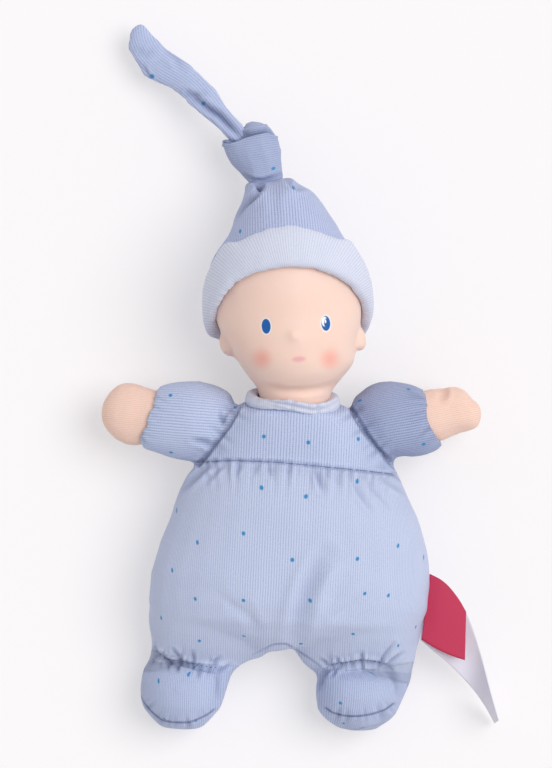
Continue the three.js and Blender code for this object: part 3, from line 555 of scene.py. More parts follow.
def outer_skin(form: bmesh.types.BMesh, cavity: float) -> None:
    """Fills a hollow solid: its inner wall goes, and the mouth that this leaves is closed.

    Args:
        form: the solid's mesh, which is changed.
        cavity: how far an inner face sees to the wall across from it at least, in metres.
    """
    tree = BVHTree.FromBMesh(form)
    inner = []
    for face in form.faces:
        start = face.calc_center_median() + face.normal * 1e-4
        _, _, _, distance = tree.ray_cast(start, face.normal)
        if distance is not None and distance > cavity:
            inner.append(face)
    bmesh.ops.delete(form, geom=inner, context="FACES")
    edges = [edge for edge in form.edges if edge.is_boundary]
    bmesh.ops.holes_fill(form, edges=edges, sides=0)
    bmesh.ops.triangulate(form, faces=form.faces[:])
    bmesh.ops.recalc_face_normals(form, faces=form.faces[:])


def soft_skin(nodes: Sequence[str], voxel: float, smooth: int, grow: float, cavity: float = 0.0) -> Surface:
    """Draws one smooth skin over some of the frame's solids.

    Args:
        nodes: the frame's nodes that the skin goes over.
        voxel: the mesh's width before it is subdivided, in millimetres.
        smooth: how many rounds of smoothing take the facets away.
        grow: how far each solid swells first, in millimetres, so that neighbours join.
        cavity: for a hollow solid, the least width of its hollow in millimetres; the skin then has none.

    Returns:
        The skin as a surface of quads.
    """
    form = bmesh.new()
    for node in nodes:
        form.from_mesh(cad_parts[node].data)
    bmesh.ops.remove_doubles(form, verts=form.verts[:], dist=1e-6)
    if cavity:
        outer_skin(form, cavity * MM)
    form.normal_update()
    for point in form.verts:
        point.co += point.normal * grow * MM
    mesh = bpy.data.meshes.new("form")
    form.to_mesh(mesh)
    form.free()
    rough = new_object("form", mesh)
    remesh = rough.modifiers.new("voxels", "REMESH")
    remesh.mode = "VOXEL"
    remesh.voxel_size = voxel * MM
    softer = rough.modifiers.new("smooth", "SMOOTH")
    softer.factor = 0.5
    softer.iterations = smooth
    finer = rough.modifiers.new("finer", "SUBSURF")
    finer.levels = 1
    made = bpy.data.meshes.new_from_object(rough.evaluated_get(bpy.context.evaluated_depsgraph_get()))
    points = np.zeros(len(made.vertices) * 3)
    made.vertices.foreach_get("co", points)
    corners = np.zeros(len(made.loops), np.int32)
    made.loops.foreach_get("vertex_index", corners)
    bpy.data.objects.remove(rough)
    surface = Surface(points.reshape(-1, 3), corners.reshape(-1, 4), np.zeros(len(points) // 3))
    bpy.data.meshes.remove(made)
    return largest(surface)


def largest(surface: Surface) -> Surface:
    """Keeps a surface's largest connected part, and so drops any pocket inside it."""
    label = np.arange(len(surface.points))
    while True:
        low = label[surface.faces].min(axis=1)
        new = label.copy()
        for column in range(4):
            np.minimum.at(new, surface.faces[:, column], low)
        new = new[new]
        if (new == label).all():
            break
        label = new
    names, counts = np.unique(label[surface.faces[:, 0]], return_counts=True)
    return surface.part(label[surface.faces[:, 0]] == names[counts.argmax()])


def tube(path: np.ndarray, radius: float, sides: int = 8) -> tuple[np.ndarray, np.ndarray]:
    """Sweeps a round section along a path, with both ends drawn in nearly to a point.

    Args:
        path: the centre line, in metres.
        radius: the section's radius, in metres.
        sides: how many points go round it.

    Returns:
        The points and the quads.
    """
    ahead = np.gradient(path, axis=0)
    ahead /= np.maximum(np.linalg.norm(ahead, axis=1, keepdims=True), 1e-12)
    up = np.array([0.0, 0.0, 1.0])
    side = np.cross(ahead, up)
    side /= np.maximum(np.linalg.norm(side, axis=1, keepdims=True), 1e-9)
    lift = np.cross(side, ahead)
    taper = np.ones(len(path))
    taper[0] = taper[-1] = 0.05
    rings = []
    for k in range(sides):
        angle = math.tau * k / sides
        offset = side * math.cos(angle) + lift * math.sin(angle)
        rings.append(path + offset * (radius * taper)[:, None])
    points = np.stack(rings, axis=1).reshape(-1, 3)
    faces = [
        (i * sides + k, i * sides + (k + 1) % sides, (i + 1) * sides + (k + 1) % sides, (i + 1) * sides + k)
        for i in range(len(path) - 1)
        for k in range(sides)
    ]
    return points, np.array(faces)


def joined(parts: Sequence[tuple[np.ndarray, np.ndarray]]) -> Surface:
    """Joins several meshes into one surface."""
    points, faces, count = [], [], 0
    for spots, quads in parts:
        points.append(spots)
        faces.append(quads + count)
        count += len(spots)
    stacked = np.vstack(points)
    return Surface(stacked, np.vstack(faces), np.zeros(len(stacked)))


def laid_on(tree: BVHTree, line: Line, step: float, sink: float) -> np.ndarray:
    """Lays a line on the front of a surface.

    Args:
        tree: the surface's search tree.
        line: the line's corners in XY, in millimetres.
        step: the distance between its points, in millimetres.
        sink: how deep it lies in the cloth, in millimetres.

    Returns:
        The line's points, in metres.
    """
    laid = []
    for x, y in resampled(line, step) * MM:
        place, _, _, _ = tree.ray_cast(Vector((x, y, 1.0)), Vector((0, 0, -1)))
        if place is not None:
            laid.append((x, y, place.z - sink * MM))
    return np.array(laid)


@dataclass(frozen=True)
class RibJersey:
    """Cotton rib jersey, knitted and then brushed: matt, with fine raised wales and soft shadows.

    Attributes:
        name: the material's name.
        colour: the yarn's colour on the ribs.
        valley: its colour between the ribs, where little light comes.
        crease: the painted shade's colour, deep in a fold or a seam.
        dot: the printed dots' colour, or None for plain cloth.
        wale: the distance from rib to rib, in millimetres.
        depth: how far a rib stands up, in millimetres.
    """

    name: str
    colour: str
    valley: str
    crease: str
    dot: str | None = None
    wale: float = 1.25
    depth: float = 0.2

    # In millimetres: the dots' spacing and radius, one course of loops, how far the wales wander and over
    # what length, the fuzz's height and grain, and the size of the larger patches of tone.
    DOT_CELL = 23.0
    DOT_RADIUS = 0.85
    COURSE = 0.8
    WANDER = 0.5
    WANDER_SIZE = 9
    FUZZ = 0.05
    FUZZ_SIZE = 0.7
    PATCH_SIZE = 14
    # As shares: how unevenly the dots lie, and how much the loops, specks and patches change the tone.
    DOT_SCATTER = 0.5
    LOOP = 0.07
    SPECKLE = 0.2
    PATCH = 0.25

    def make(self) -> bpy.types.Material:
        """Builds the node material."""
        look = {"Roughness": 0.9, "Sheen Weight": 0.12, "Sheen Roughness": 0.5, "Specular IOR Level": 0.2}
        material, tree, shader = new_material(self.name, look)
        place = add_node(tree, "UVMap", uv_map=KNIT_MAP)
        apart = add_node(tree, "SeparateXYZ", {0: place})
        wander = add_node(
            tree, "TexNoise", {"Vector": place, "Scale": 1 / (self.WANDER_SIZE * MM), "Detail": 2.0}
        )
        across = add_node(
            tree, "Math", {0: wander, 1: self.WANDER * MM, 2: apart.outputs[0]}, operation="MULTIPLY_ADD"
        )
        flank = add_node(tree, "Math", {0: across, 1: self.wale * MM / 2}, operation="PINGPONG")
        share = add_node(tree, "Math", {0: flank, 1: 2 / (self.wale * MM)}, operation="MULTIPLY")
        rib = add_node(tree, "Math", {0: share, 1: 0.6}, operation="POWER")
        step = math.tau / (self.COURSE * MM)
        turn = add_node(tree, "Math", {0: apart.outputs[1], 1: step}, operation="MULTIPLY")
        loop = add_node(tree, "Math", {0: turn}, operation="SINE")
        loops = add_node(tree, "Math", {0: loop, 1: self.LOOP, 2: rib}, operation="MULTIPLY_ADD")
        fuzz = add_node(tree, "TexNoise", {"Vector": place, "Scale": 1 / (self.FUZZ_SIZE * MM), "Detail": 3.0})
        knit = add_node(tree, "Math", {0: loops, 1: self.depth * MM}, operation="MULTIPLY")
        height = add_node(tree, "Math", {0: fuzz, 1: self.FUZZ * MM, 2: knit}, operation="MULTIPLY_ADD")
        bump = add_node(tree, "Bump", {"Height": height, "Distance": 1.0, "Strength": 0.8})
        tree.links.new(bump.outputs[0], shader.inputs["Normal"])
        patches = add_node(
            tree, "TexNoise", {"Vector": place, "Scale": 1 / (self.PATCH_SIZE * MM), "Detail": 4.0}
        )
        specks = add_node(tree, "MapRange", {0: fuzz, 1: 0.3, 2: 0.7, 3: -self.SPECKLE, 4: self.SPECKLE})
        rough = add_node(tree, "Math", {0: loops, 1: specks}, operation="ADD")
        lit = add_node(tree, "Math", {0: patches, 1: self.PATCH, 2: rough}, operation="MULTIPLY_ADD")
        tone = add_node(
            tree, "Mix", {0: lit, 6: linear(self.valley), 7: linear(self.colour)}, data_type="RGBA"
        ).outputs[2]
        if self.dot:
            cells = add_node(
                tree,
                "TexVoronoi",
                {"Vector": place, "Scale": 1 / (self.DOT_CELL * MM), "Randomness": self.DOT_SCATTER},
                voronoi_dimensions="2D",
            )
            edge = self.DOT_RADIUS / self.DOT_CELL
            away = cells.outputs["Distance"]
            inside = add_node(tree, "MapRange", {0: away, 1: edge * 1.25, 2: edge * 0.75})
            printed = {0: inside, 6: tone, 7: linear(self.dot)}
            tone = add_node(tree, "Mix", printed, data_type="RGBA").outputs[2]
        # Painted shade: the colour turns to the crease colour where the surface lies in a fold or a seam.
        deep = add_node(tree, "Attribute", attribute_name=FOLD_ATTRIBUTE)
        final = add_node(
            tree, "Mix", {0: deep.outputs["Fac"], 6: tone, 7: linear(self.crease)}, data_type="RGBA"
        ).outputs[2]
        tree.links.new(final, shader.inputs["Base Color"])
        return material


@dataclass(frozen=True)
class PaintedRubber:
    """Natural rubber, cast in a mould and hand painted: soft, faintly translucent skin with a satin look.

    Places are in the head's own frame: X to the doll's left, Y up the face, both in millimetres.
    """

    name: str = "moulded_natural_rubber"
    skin: str = "#f8d8ca"
    shadow: str = "#f0c3ad"
    blush: str = "#fa9c8c"
    lip: str = "#f2b5b7"
    iris: str = "#0c5da8"
    white: str = "#fffdfb"
    eye_radii: tuple[float, float] = (1.9, 3.15)
    right_eye: tuple[float, float] = (-9.1, 32.6)
    left_eye: tuple[float, float] = (15.8, 32.3)
    cheeks: tuple[tuple[float, float], ...] = ((-11.8, 19.3), (16.7, 17.3))
    mouth: tuple[float, float] = (3.7, 18.1)

    def spot(
        self,
        tree: bpy.types.NodeTree,
        place: bpy.types.NodeSocket,
        centre: tuple[float, float],
        radii: tuple[float, float],
        soft: float,
    ) -> bpy.types.NodeSocket:
        """Masks an ellipse on the front of the face.

        Args:
            tree: the material's node tree.
            place: the point's place in the head's frame, in metres.
            centre: the ellipse's middle, in millimetres.
            radii: its half width and half height, in millimetres.
            soft: how wide its edge is, as a share of the radii.

        Returns:
            The socket that is 1 inside and 0 outside.
        """
        middle = (centre[0] * MM, centre[1] * MM, 0)
        shrink = (1 / (radii[0] * MM), 1 / (radii[1] * MM), 0)
        shifted = add_node(tree, "VectorMath", {0: place, 1: middle}, operation="SUBTRACT")
        scaled = add_node(tree, "VectorMath", {0: shifted, 1: shrink}, operation="MULTIPLY")
        distance = add_node(tree, "VectorMath", {0: scaled}, operation="LENGTH").outputs["Value"]
        inside = add_node(
            tree, "MapRange", {0: distance, 1: 1 + soft, 2: 1 - soft}, interpolation_type="SMOOTHSTEP"
        )
        depth = add_node(tree, "SeparateXYZ", {0: place}).outputs[2]
        front = add_node(tree, "Math", {0: depth, 1: 0.0}, operation="GREATER_THAN")
        return add_node(tree, "Math", {0: inside, 1: front}, operation="MULTIPLY").outputs[0]

    def make(self) -> bpy.types.Material:
        """Builds the node material."""
        look = {
            "Roughness": 0.5,
            "IOR": 1.52,
            "Specular IOR Level": 0.35,
            "Subsurface Weight": 0.35,
            "Subsurface Scale": 0.004,
            "Subsurface Radius": (1.0, 0.45, 0.3),
        }
        material, tree, shader = new_material(self.name, look)
        place = add_node(tree, "TexCoord").outputs["Object"]
        cloud = add_node(tree, "TexNoise", {"Vector": place, "Scale": 1 / (18 * MM), "Detail": 3.0})
        amount = add_node(tree, "MapRange", {0: cloud, 1: 0.45, 2: 0.8, 4: 0.22})
        tone = add_node(
            tree, "Mix", {0: amount, 6: linear(self.skin), 7: linear(self.shadow)}, data_type="RGBA"
        ).outputs[2]
        for centre in self.cheeks:
            mask = self.spot(tree, place, centre, (3.1, 3.2), 0.98)
            weaker = add_node(tree, "Math", {0: mask, 1: 0.6}, operation="MULTIPLY")
            layer = {0: weaker, 6: tone, 7: linear(self.blush)}
            tone = add_node(tree, "Mix", layer, data_type="RGBA").outputs[2]
        x, y = self.mouth
        upper = self.spot(tree, place, (x, y - 2.1), (4.1, 3.2), 0.25)
        lower = self.spot(tree, place, (x, y + 2.2), (4.1, 3.3), 0.25)
        lips = add_node(tree, "Math", {0: upper, 1: lower}, operation="MULTIPLY")
        tone = add_node(tree, "Mix", {0: lips, 6: tone, 7: linear(self.lip)}, data_type="RGBA").outputs[2]
        for eye, side in ((self.right_eye, Side.RIGHT), (self.left_eye, Side.LEFT)):
            tone = self.paint_eye(tree, place, tone, eye, side)
        tree.links.new(tone, shader.inputs["Base Color"])
        grain = add_node(tree, "TexNoise", {"Vector": place, "Scale": 1 / (0.9 * MM), "Detail": 2.0})
        bump = add_node(tree, "Bump", {"Height": grain, "Distance": 0.03 * MM, "Strength": 0.4})
        tree.links.new(bump.outputs[0], shader.inputs["Normal"])
        return material

    def paint_eye(
        self,
        tree: bpy.types.NodeTree,
        place: bpy.types.NodeSocket,
        tone: bpy.types.NodeSocket,
        eye: tuple[float, float],
        side: Side,
    ) -> bpy.types.NodeSocket:
        """Paints one eye: a white outline, the blue oval and its highlight.

        Args:
            tree: the material's node tree.
            place: the point's place in the head's frame.
            tone: the colour under the paint.
            eye: the eye's middle, in millimetres.
            side: which eye it is.

        Returns:
            The painted colour.
        """
        x, y = eye
        w, h = self.eye_radii
        layers = [((x, y), (w + 0.32, h + 0.32), 0.1, self.white), ((x, y), (w, h), 0.09, self.iris)]
        if side is Side.LEFT:
            layers += [
                ((x - 0.45, y + 0.75), (1.25, 2.0), 0.2, self.white),
                ((x + 0.35, y + 0.1), (1.1, 2.0), 0.2, self.iris),
                ((x - 0.1, y + 0.9), (0.35, 0.8), 0.3, self.white),
            ]
        for centre, radii, soft, colour in layers:
            mask = self.spot(tree, place, centre, radii, soft)
            tone = add_node(tree, "Mix", {0: mask, 6: tone, 7: linear(colour)}, data_type="RGBA").outputs[2]
        return tone


@dataclass(frozen=True)
class WovenTape:
    """Polyester satin tape, woven and heat cut: smooth, with fine threads across and a faint gleam."""

    name: str
    colour: str
    dark: str
    thread: float = 0.5

    def make(self) -> bpy.types.Material:
        """Builds the node material; its threads are drawn about twice as coarse as real ones, to show."""
        material, tree, shader = new_material(self.name, {"Roughness": 0.55, "Sheen Weight": 0.1})
        apart = add_node(tree, "SeparateXYZ", {0: add_node(tree, "UVMap", uv_map=KNIT_MAP)})
        waves = []
        for axis in (0, 1):
            step = math.tau / (self.thread * MM)
            turn = add_node(tree, "Math", {0: apart.outputs[axis], 1: step}, operation="MULTIPLY")
            waves.append(add_node(tree, "Math", {0: turn}, operation="SINE"))
        weave = add_node(tree, "Math", {0: waves[0], 1: waves[1]}, operation="MULTIPLY")
        share = add_node(tree, "MapRange", {0: weave, 1: -1.0, 2: 1.0})
        tone = add_node(
            tree, "Mix", {0: share, 6: linear(self.dark), 7: linear(self.colour)}, data_type="RGBA"
        ).outputs[2]
        tree.links.new(tone, shader.inputs["Base Color"])
        bump = add_node(tree, "Bump", {"Height": weave, "Distance": 0.05 * MM, "Strength": 0.5})
        tree.links.new(bump.outputs[0], shader.inputs["Normal"])
        return material


@dataclass(frozen=True)
class SpunThread:
    """Spun polyester sewing thread: a matt two-ply twist."""

    name: str
    colour: str
    dark: str
    twist: float = 0.8

    def make(self) -> bpy.types.Material:
        """Builds the node material; the twist is drawn about three times as coarse as real, to show."""
        material, tree, shader = new_material(self.name, {"Roughness": 0.8})
        place = add_node(tree, "TexCoord").outputs["Object"]
        ply = add_node(tree, "TexWave", {"Vector": place, "Scale": 1 / (self.twist * MM), "Distortion": 1.5})
        tone = add_node(
            tree, "Mix", {0: ply, 6: linear(self.dark), 7: linear(self.colour)}, data_type="RGBA"
        ).outputs[2]
        tree.links.new(tone, shader.inputs["Base Color"])
        return material


@dataclass(frozen=True)
class Finishes:
    """The doll's finishes, each made once."""

    dotted: bpy.types.Material
    crown: bpy.types.Material
    romper: bpy.types.Material
    foot: bpy.types.Material
    tail: bpy.types.Material
    knot: bpy.types.Material
    shaded: bpy.types.Material
    pale: bpy.types.Material
    hand: bpy.types.Material
    rubber: bpy.types.Material
    seam: bpy.types.Material
    stitch: bpy.types.Material
    tie: bpy.types.Material
    crimson: bpy.types.Material
    white: bpy.types.Material

    @classmethod
    def prepare(cls) -> "Finishes":
        """Makes every material of the doll."""
        dot = "#3f8ec6"
        return cls(
            dotted=RibJersey("dotted_rib_jersey", "#c8d2ee", "#97a5cb", "#566189", dot).make(),
            crown=RibJersey("dotted_cap_jersey", "#c2cbea", "#8b99c3", "#4c5880", dot).make(),
            romper=RibJersey("dotted_fine_jersey", "#cad3ec", "#a6b1d3", "#66719a", dot, 1.1, 0.14).make(),
            foot=RibJersey("dotted_foot_jersey", "#c0cae7", "#95a2c8", "#5a668f", dot, 1.15, 0.18).make(),
            tail=RibJersey("dotted_tail_jersey", "#bdc7e6", "#9aa6cd", "#4c5880", dot, 1.1, 0.12).make(),
            # A darker, flatter copy of the dotted jersey: painted shade on the knot.
            knot=RibJersey("dotted_knot_jersey", "#aeb8d6", "#8e9abf", "#465279", dot, 1.0, 0.12).make(),
            # A darker copy of the dotted jersey, with painted shade, for the left sleeve.
            shaded=RibJersey("dotted_sleeve_jersey", "#a9b3d3", "#7582a9", "#4a557c", dot, 1.1).make(),
            pale=RibJersey("pale_rib_jersey", "#dde1f1", "#c3c9e0", "#7f86aa", None, 1.0, 0.12).make(),
            hand=RibJersey("skin_jersey", "#f8d8c9", "#e9bca8", "#c08d78", None, 0.9, 0.1).make(),
            rubber=PaintedRubber().make(),
            seam=SpunThread("seam_thread", "#8791b6", "#6a749a").make(),
            stitch=SpunThread("stitch_thread", "#4d5880", "#39436a").make(),
            tie=SpunThread("tie_thread", "#e9e6ea", "#c9c6cf").make(),
            crimson=WovenTape("crimson_satin_tape", "#cb2453", "#b21c47").make(),
            white=WovenTape("white_satin_tape", "#f2eef8", "#dfdaea").make(),
        )


@dataclass
class Garment:
    """The jersey body: bodice, romper with its feet, and puffed sleeves, one skin that is cut at the seams.

    Lines are in the front view, in millimetres from the middle of the back's resting face.
    """

    finishes: Finishes
    voxel: float = 1.5
    smooth: int = 7
    bag_width: float = 58.5
    bodice_width: float = 44.0
    crotch_y: float = -35.2
    ankle_y: float = -45.0
    hip_reach: float = 14.0
    hip_rise: float = 38.0
    sleeve_reach: float = 12.0
    arm_z: float = 27.0
    hip_z: float = 30.0
    seam_radius: float = 0.24
    stitch_rise: float = 1.0
    waist: Line = (
        (-41, 39.3), (-38.7, 39.5), (-26.2, 40.9), (-5.2, 41), (11.7, 40), (28.6, 39.1), (42.5, 38),
    )
    crotch: Line = (
        (-13.2, -40.4), (-10, -38.7), (-6.4, -36.4), (-3.8, -35.4), (0.5, -35.2), (3.8, -36.8), (9.9, -40.5),
        (17.1, -45.3),
    )
    raglans: dict[Side, Line] = field(
        default_factory=lambda: {
            Side.RIGHT: (
                (-20, 70), (-22.3, 65.4), (-27.2, 55.5), (-31.8, 48.9), (-35.8, 42.8), (-39.3, 38.4),
            ),
            Side.LEFT: ((20.8, 70), (23.3, 64.8), (26.7, 59.6), (30.7, 53.9), (35.3, 48.2), (42.5, 41.5)),
        }
    )
    ankles: dict[Side, Line] = field(
        default_factory=lambda: {
            Side.RIGHT: (
                (-54.5, -40.7), (-51.7, -43.2), (-47.8, -45.2), (-44.1, -45), (-37.6, -46.3), (-30.6, -47.4),
                (-26.8, -47.4),
            ),
            Side.LEFT: (
                (17.3, -46.1), (20.4, -43.8), (27.9, -42.4), (31.6, -41.4), (38.1, -41.7), (44.6, -43.3),
            ),
        }
    )
    toes: dict[Side, Line] = field(
        default_factory=lambda: {
            Side.RIGHT: (
                (-59.9, -56), (-59.4, -59.5), (-57.8, -62.8), (-54.4, -66.4), (-50, -69.7), (-45.1, -70.3),
                (-38.7, -70.1), (-35.5, -68.8), (-31.3, -66.7), (-28.2, -64.2),
            ),
            Side.LEFT: (
                (18.3, -61.3), (21.3, -63.3), (26.7, -64.4), (32.1, -64.3), (37.9, -63.2), (43.2, -61.2),
                (46.8, -58.5),
            ),
        }
    )

    def build(self) -> None:
        """Draws the skin, presses its folds and cuts it into the doll's pieces."""
        whole = soft_skin(self.nodes(), self.voxel, self.smooth, grow=0.45)
        whole.nudge(self.nudges())
        self.shape(whole)
        whole.settle()
        centres = whole.centres()
        sleeves = {side: self.beyond_raglan(centres, side) for side in Side}
        arms = sleeves[Side.RIGHT] | sleeves[Side.LEFT]
        bodice = ~arms & (centres[:, 1] > self.waist_y(centres[:, 0]) * MM)
        feet = ~arms & ~bodice & (centres[:, 1] < self.ankle_y * MM)
        rest = ~arms & ~bodice & ~feet
        self.make_bodice(whole.part(bodice))
        for side in Side:
            half = np.sign(centres[:, 0]) == side.value
            self.make_romper(whole.part(rest & half), side)
            self.make_foot(whole.part(feet & half), side)
            self.make_sleeve(whole.part(sleeves[side]), side)
        self.make_seams(whole.tree())

    def nodes(self) -> list[str]:
        """The frame's solids that the skin goes over."""
        names = ["bodice_front", "bodice_back", "romper_front", "romper_back", "body_filling"]
        for side in Side:
            for piece in ("leg", "leg_filling", "foot", "foot_filling", "sleeve", "arm_filling"):
                names.append(f"{side.word}_{piece}")
        return names

    def waist_y(self, x: np.ndarray) -> np.ndarray:
        """The waist seam's height at each X, in millimetres."""
        line = np.array(self.waist)
        return np.interp(x / MM, line[:, 0], line[:, 1])

    def beyond_raglan(self, centres: np.ndarray, side: Side) -> np.ndarray:
        """Which faces lie on the arm's side of the raglan seam."""
        line = np.array(self.raglans[side])
        order = np.argsort(line[:, 1])
        edge = np.interp(centres[:, 1] / MM, line[order, 1], line[order, 0])
        outside = (centres[:, 0] / MM - edge) * side.value > 0
        return outside & (centres[:, 1] > line[:, 1].min() * MM)

    def nudges(self) -> list[Nudge]:
        """Where the stuffing pushes the cloth out, and where a seam draws it in."""
        return [
            Nudge((0, 10), (200, 26), (2.6, 0, 0)),
            Nudge((-61, 66), (9, 7), (1.9, 0, 0)),
            Nudge((-61, 48), (9, 7), (-2.2, 0, 0)),
            Nudge((-50, 41), (15, 7), (0, -2.8, 0)),
            Nudge((-64, 46), (7, 6), (-1.2, -1.2, 0)),
            Nudge((-27, 69), (8, 7), (2, 1, 0)),
            Nudge((0, 62), (17, 7), (0, 3.8, 0)),
            Nudge((33, 70), (10, 9), (-2, 3.2, 0)),
            Nudge((43, 76), (12, 5), (0, 1.8, 0)),
            Nudge((26, 66), (5, 6), (-1.6, 2, 0)),
            Nudge((44, 42), (6, 4), (0, 2, 0)),
            Nudge((62, 62), (6, 8), (-5, 0, -1.5)),
            Nudge((49, -45), (5, 4.5), (0, 0, 3)),
            Nudge((24.9, -69.1), (4, 4), (0.4, 1.4, 0)),
            Nudge((40.8, -68.4), (4, 4), (-0.4, 1.4, 0)),
            Nudge((48, 46), (10, 7), (0, 1.6, 0)),
            Nudge((57, 73), (6, 6), (-3, 0, 0)),
            Nudge((-5, -38), (9, 6), (0, -3.6, 0)),
            Nudge((9, -42), (6, 5), (0, -1.6, 0)),
            Nudge((33, -69), (22, 9), (0, 3, 0)),
            Nudge((20, -68), (7, 6), (1.6, 0.4, 0)),
            Nudge((45, -69), (7, 6), (-0.4, 0.2, 0)),
            Nudge((14.5, -48), (4, 4), (1.4, 0, 0)),
            Nudge((50, -47), (8, 8), (3.4, 0, 0)),
            Nudge((-43, -60), (22, 12), (-1.2, 0.8, 0)),
            Nudge((-29, -69), (7, 6), (-0.8, 1.3, 0)),
            Nudge((-55, -69.5), (6, 5), (0.4, 0.6, 0)),
            Nudge((-57, -38), (5, 7), (2.2, 0, 0)),
        ]

    def shape(self, whole: Surface) -> None:
        """Presses the garment's folds, gathers and seams into its skin."""
        whole.lump(0.35, 24, seed=3)
        whole.relax(3)
        whole.press([*self.gathers(), *self.folds(), *self.grooves()])
        whole.points[:, 2] = np.maximum(whole.points[:, 2], 0.0)

    def gathers(self) -> list[Gather]:
        """The small folds along the waist, the cuffs and the ankles."""
        right_cuff = ((-57.8, 68.7), (-59.8, 64.3), (-62.2, 58.3), (-65.4, 45.8))
        left_cuff = ((55.2, 74.7), (52.9, 70.4), (53.1, 65), (55.6, 59.2), (62.9, 51.1))
        marks = [
            Gather(self.waist, 5.2, 0.75, (0.8, 11), seed=11),
            Gather(self.waist, 5.6, 0.6, (0.8, 10), seed=12, back=True),
            Gather(right_cuff, 4.0, 0.15, (7, 7), seed=13),
            Gather(left_cuff, 4.4, 0.2, (7, 7), seed=14),
        ]
        for side in Side:
            marks.append(Gather(self.ankles[side], 3.0, 0.8, (5.5, 3.5), seed=15 + side.value))
            marks.append(Gather(self.raglans[side], 6.0, 0.45, (6, 6), seed=18 + side.value))
            marks.append(Gather(self.toes[side], 4.5, 0.4, (4, 4), seed=21 + side.value))
        return marks

    def folds(self) -> list[Crease]:
        """The larger folds, each where the photographed doll has it."""
        return [
            Crease(((-32.4, 39.8), (-37.6, 35.3), (-43.7, 28.5)), 0.9, 1.3, 0.6, 0.4),
            Crease(((-36.3, 38.8), (-41, 33), (-46, 27)), 0.8, 1.2, 0.5, 0.25),
            Crease(((-28.7, 39.9), (-33.3, 34.4), (-36, 31)), 0.8, 1.3, 0.5, 0.3),
            Crease(((-21.5, 39.8), (-24.2, 34.7)), 0.6, 1.2, 0.3, 0.2),
            Crease(((-14.8, 41.1), (-15.7, 35.7)), 0.8, 1.2, 0.4, 0.35),
            Crease(((-9.7, 40.8), (-8.7, 34.5)), 0.9, 1.2, 0.4, 0.45),
            Crease(((9.6, 39.6), (13.2, 30)), 1.1, 1.4, 0.6, 0.5),
            Crease(((18.3, 38.4), (19.7, 31.1)), 0.6, 1.4, 0.3, 0.2),
            Crease(((23.8, 37.8), (28, 30), (33.9, 22.5)), 0.6, 1.2, 0.4, 0.25),
            Crease(((29.5, 37.9), (34, 31.5), (41, 24)), 0.5, 1.1, 0.3, 0.2),
            Crease(((35.4, 37.5), (47.4, 30.7)), 0.6, 1.2, 0.4, 0.25),
            Crease(((4.3, -30.5), (6, -22.4), (8.9, -11.4), (12.3, -2), (15.2, 3.6)), 1.7, 3.6, 1.1, 0.22),
            Crease(((16.7, -16.5), (21, -9.6), (27.1, -4.3)), 0.7, 3.4, 0.4),
            Crease(((-21.9, -19), (-17.1, -21.3), (-14, -26.7), (-11.3, -31.2)), 0.4, 2.6, 0.2),
            Crease(((-30.6, 60.6), (-29.5, 55.4)), 1.0, 1.3, 0.5, 0.45),
            Crease(((-41.9, 48.6), (-37.1, 47.9), (-33.6, 46)), 1.1, 1.3, 0.6, 0.45),
            Crease(((-63.3, 52.1), (-64.3, 49.1), (-61.6, 45.5)), 0.6, 0.9, 0.3, 0.3),
            *self.ankle_folds(),
        ]

    def ankle_folds(self) -> list[Crease]:
        """The sharp little folds that the ankles' threads draw up, and the front's edges beside the feet."""
        puckers = [
            ((-47.9, -44.6), (-51.8, -41.4)), ((-42.5, -44.7), (-46.7, -39.6)),
            ((-37.6, -45.3), (-38.4, -40.2)),
            ((-30.1, -46), (-27.2, -42)), ((-27.3, -48), (-22.4, -45.2)), ((-48.4, -44.8), (-48.4, -48)),
            ((-35.4, -46), (-35.5, -50.8)), ((-44.3, -45.2), (-44.7, -48.2)), ((20.2, -44.4), (15.3, -40.9)),
            ((24.5, -43.4), (21.8, -40.2)), ((32.3, -37.5), (32.7, -41.4)), ((39.7, -41.9), (45.6, -33)),
            ((42.1, -42.9), (49.7, -36.8)), ((20.3, -47.6), (23.2, -43.4)), ((16.3, -47.7), (18.8, -45.8)),
            ((32.7, -42.2), (33.6, -45)),
        ]
        folds = [Crease(line, 0.9, 0.95, 0.45, 0.45) for line in puckers]
        edges = [
            (((-27.3, -47.8), (-26.6, -52.8), (-26.9, -58.7)), 1.0),
            (((-54.6, -38.3), (-54, -42), (-56.6, -46.5)), 1.7),
            (((41.3, -43.4), (45.2, -45.9), (47.8, -49.6), (48.4, -54.5)), 1.1),
            (((18.4, -46), (15.9, -48.9), (15.4, -52.4)), 1.2),
        ]
        return folds + [Crease(line, depth, 1.5, 0.4, 0.35) for line, depth in edges]

    def grooves(self) -> list[Crease]:
        """The grooves of the sewn seams."""
        marks = [
            Crease(self.waist, 0.8, 0.8, 0.3, 0.4, through=True),
            Crease(self.waist, 0.7, 0.9, 0.3, 0.45, through=True, back=True),
            Crease(self.crotch, 0.5, 0.6, 0.15, 0.6),
        ]
        for side in Side:
            marks.append(Crease(self.raglans[side], 1.5, 1.0, 0.5, 0.6, through=True))
            marks.append(Crease(self.raglans[side], 0.9, 1.3, 0.3, 0.45, through=True, back=True))
            marks.append(Crease(self.ankles[side], 2.0, 1.15, 1.1, 0.4))
            marks.append(Crease(self.toes[side], 0.6, 0.6, 0.2, 0.6, through=True))
        return marks

    def body_grain(self, points: np.ndarray) -> Grain:
        """Lays the knit on the body, with its wales down the front and the back and alike wide everywhere.

        Args:
            points: the points, in metres.

        Returns:
            How the knit lies.
        """
        x, y = np.abs(points[:, 0]) / MM, points[:, 1] / MM
        span = np.arange(-75.0, 43.0, 1.5)
        outer = np.maximum(np.interp(y, span, self.evened([self.edge(points, low) for low in span])), 1.0)
        place = outer * np.arcsin(np.clip(x / outer, 0, 1))
        depth = points[:, 2] - self.mid_depth(y) * MM
        place = np.where(depth < 0, math.pi * outer - place, place)
        return Grain(place * np.sign(points[:, 0]) * MM, points[:, 1] + 0.7 * np.abs(depth))

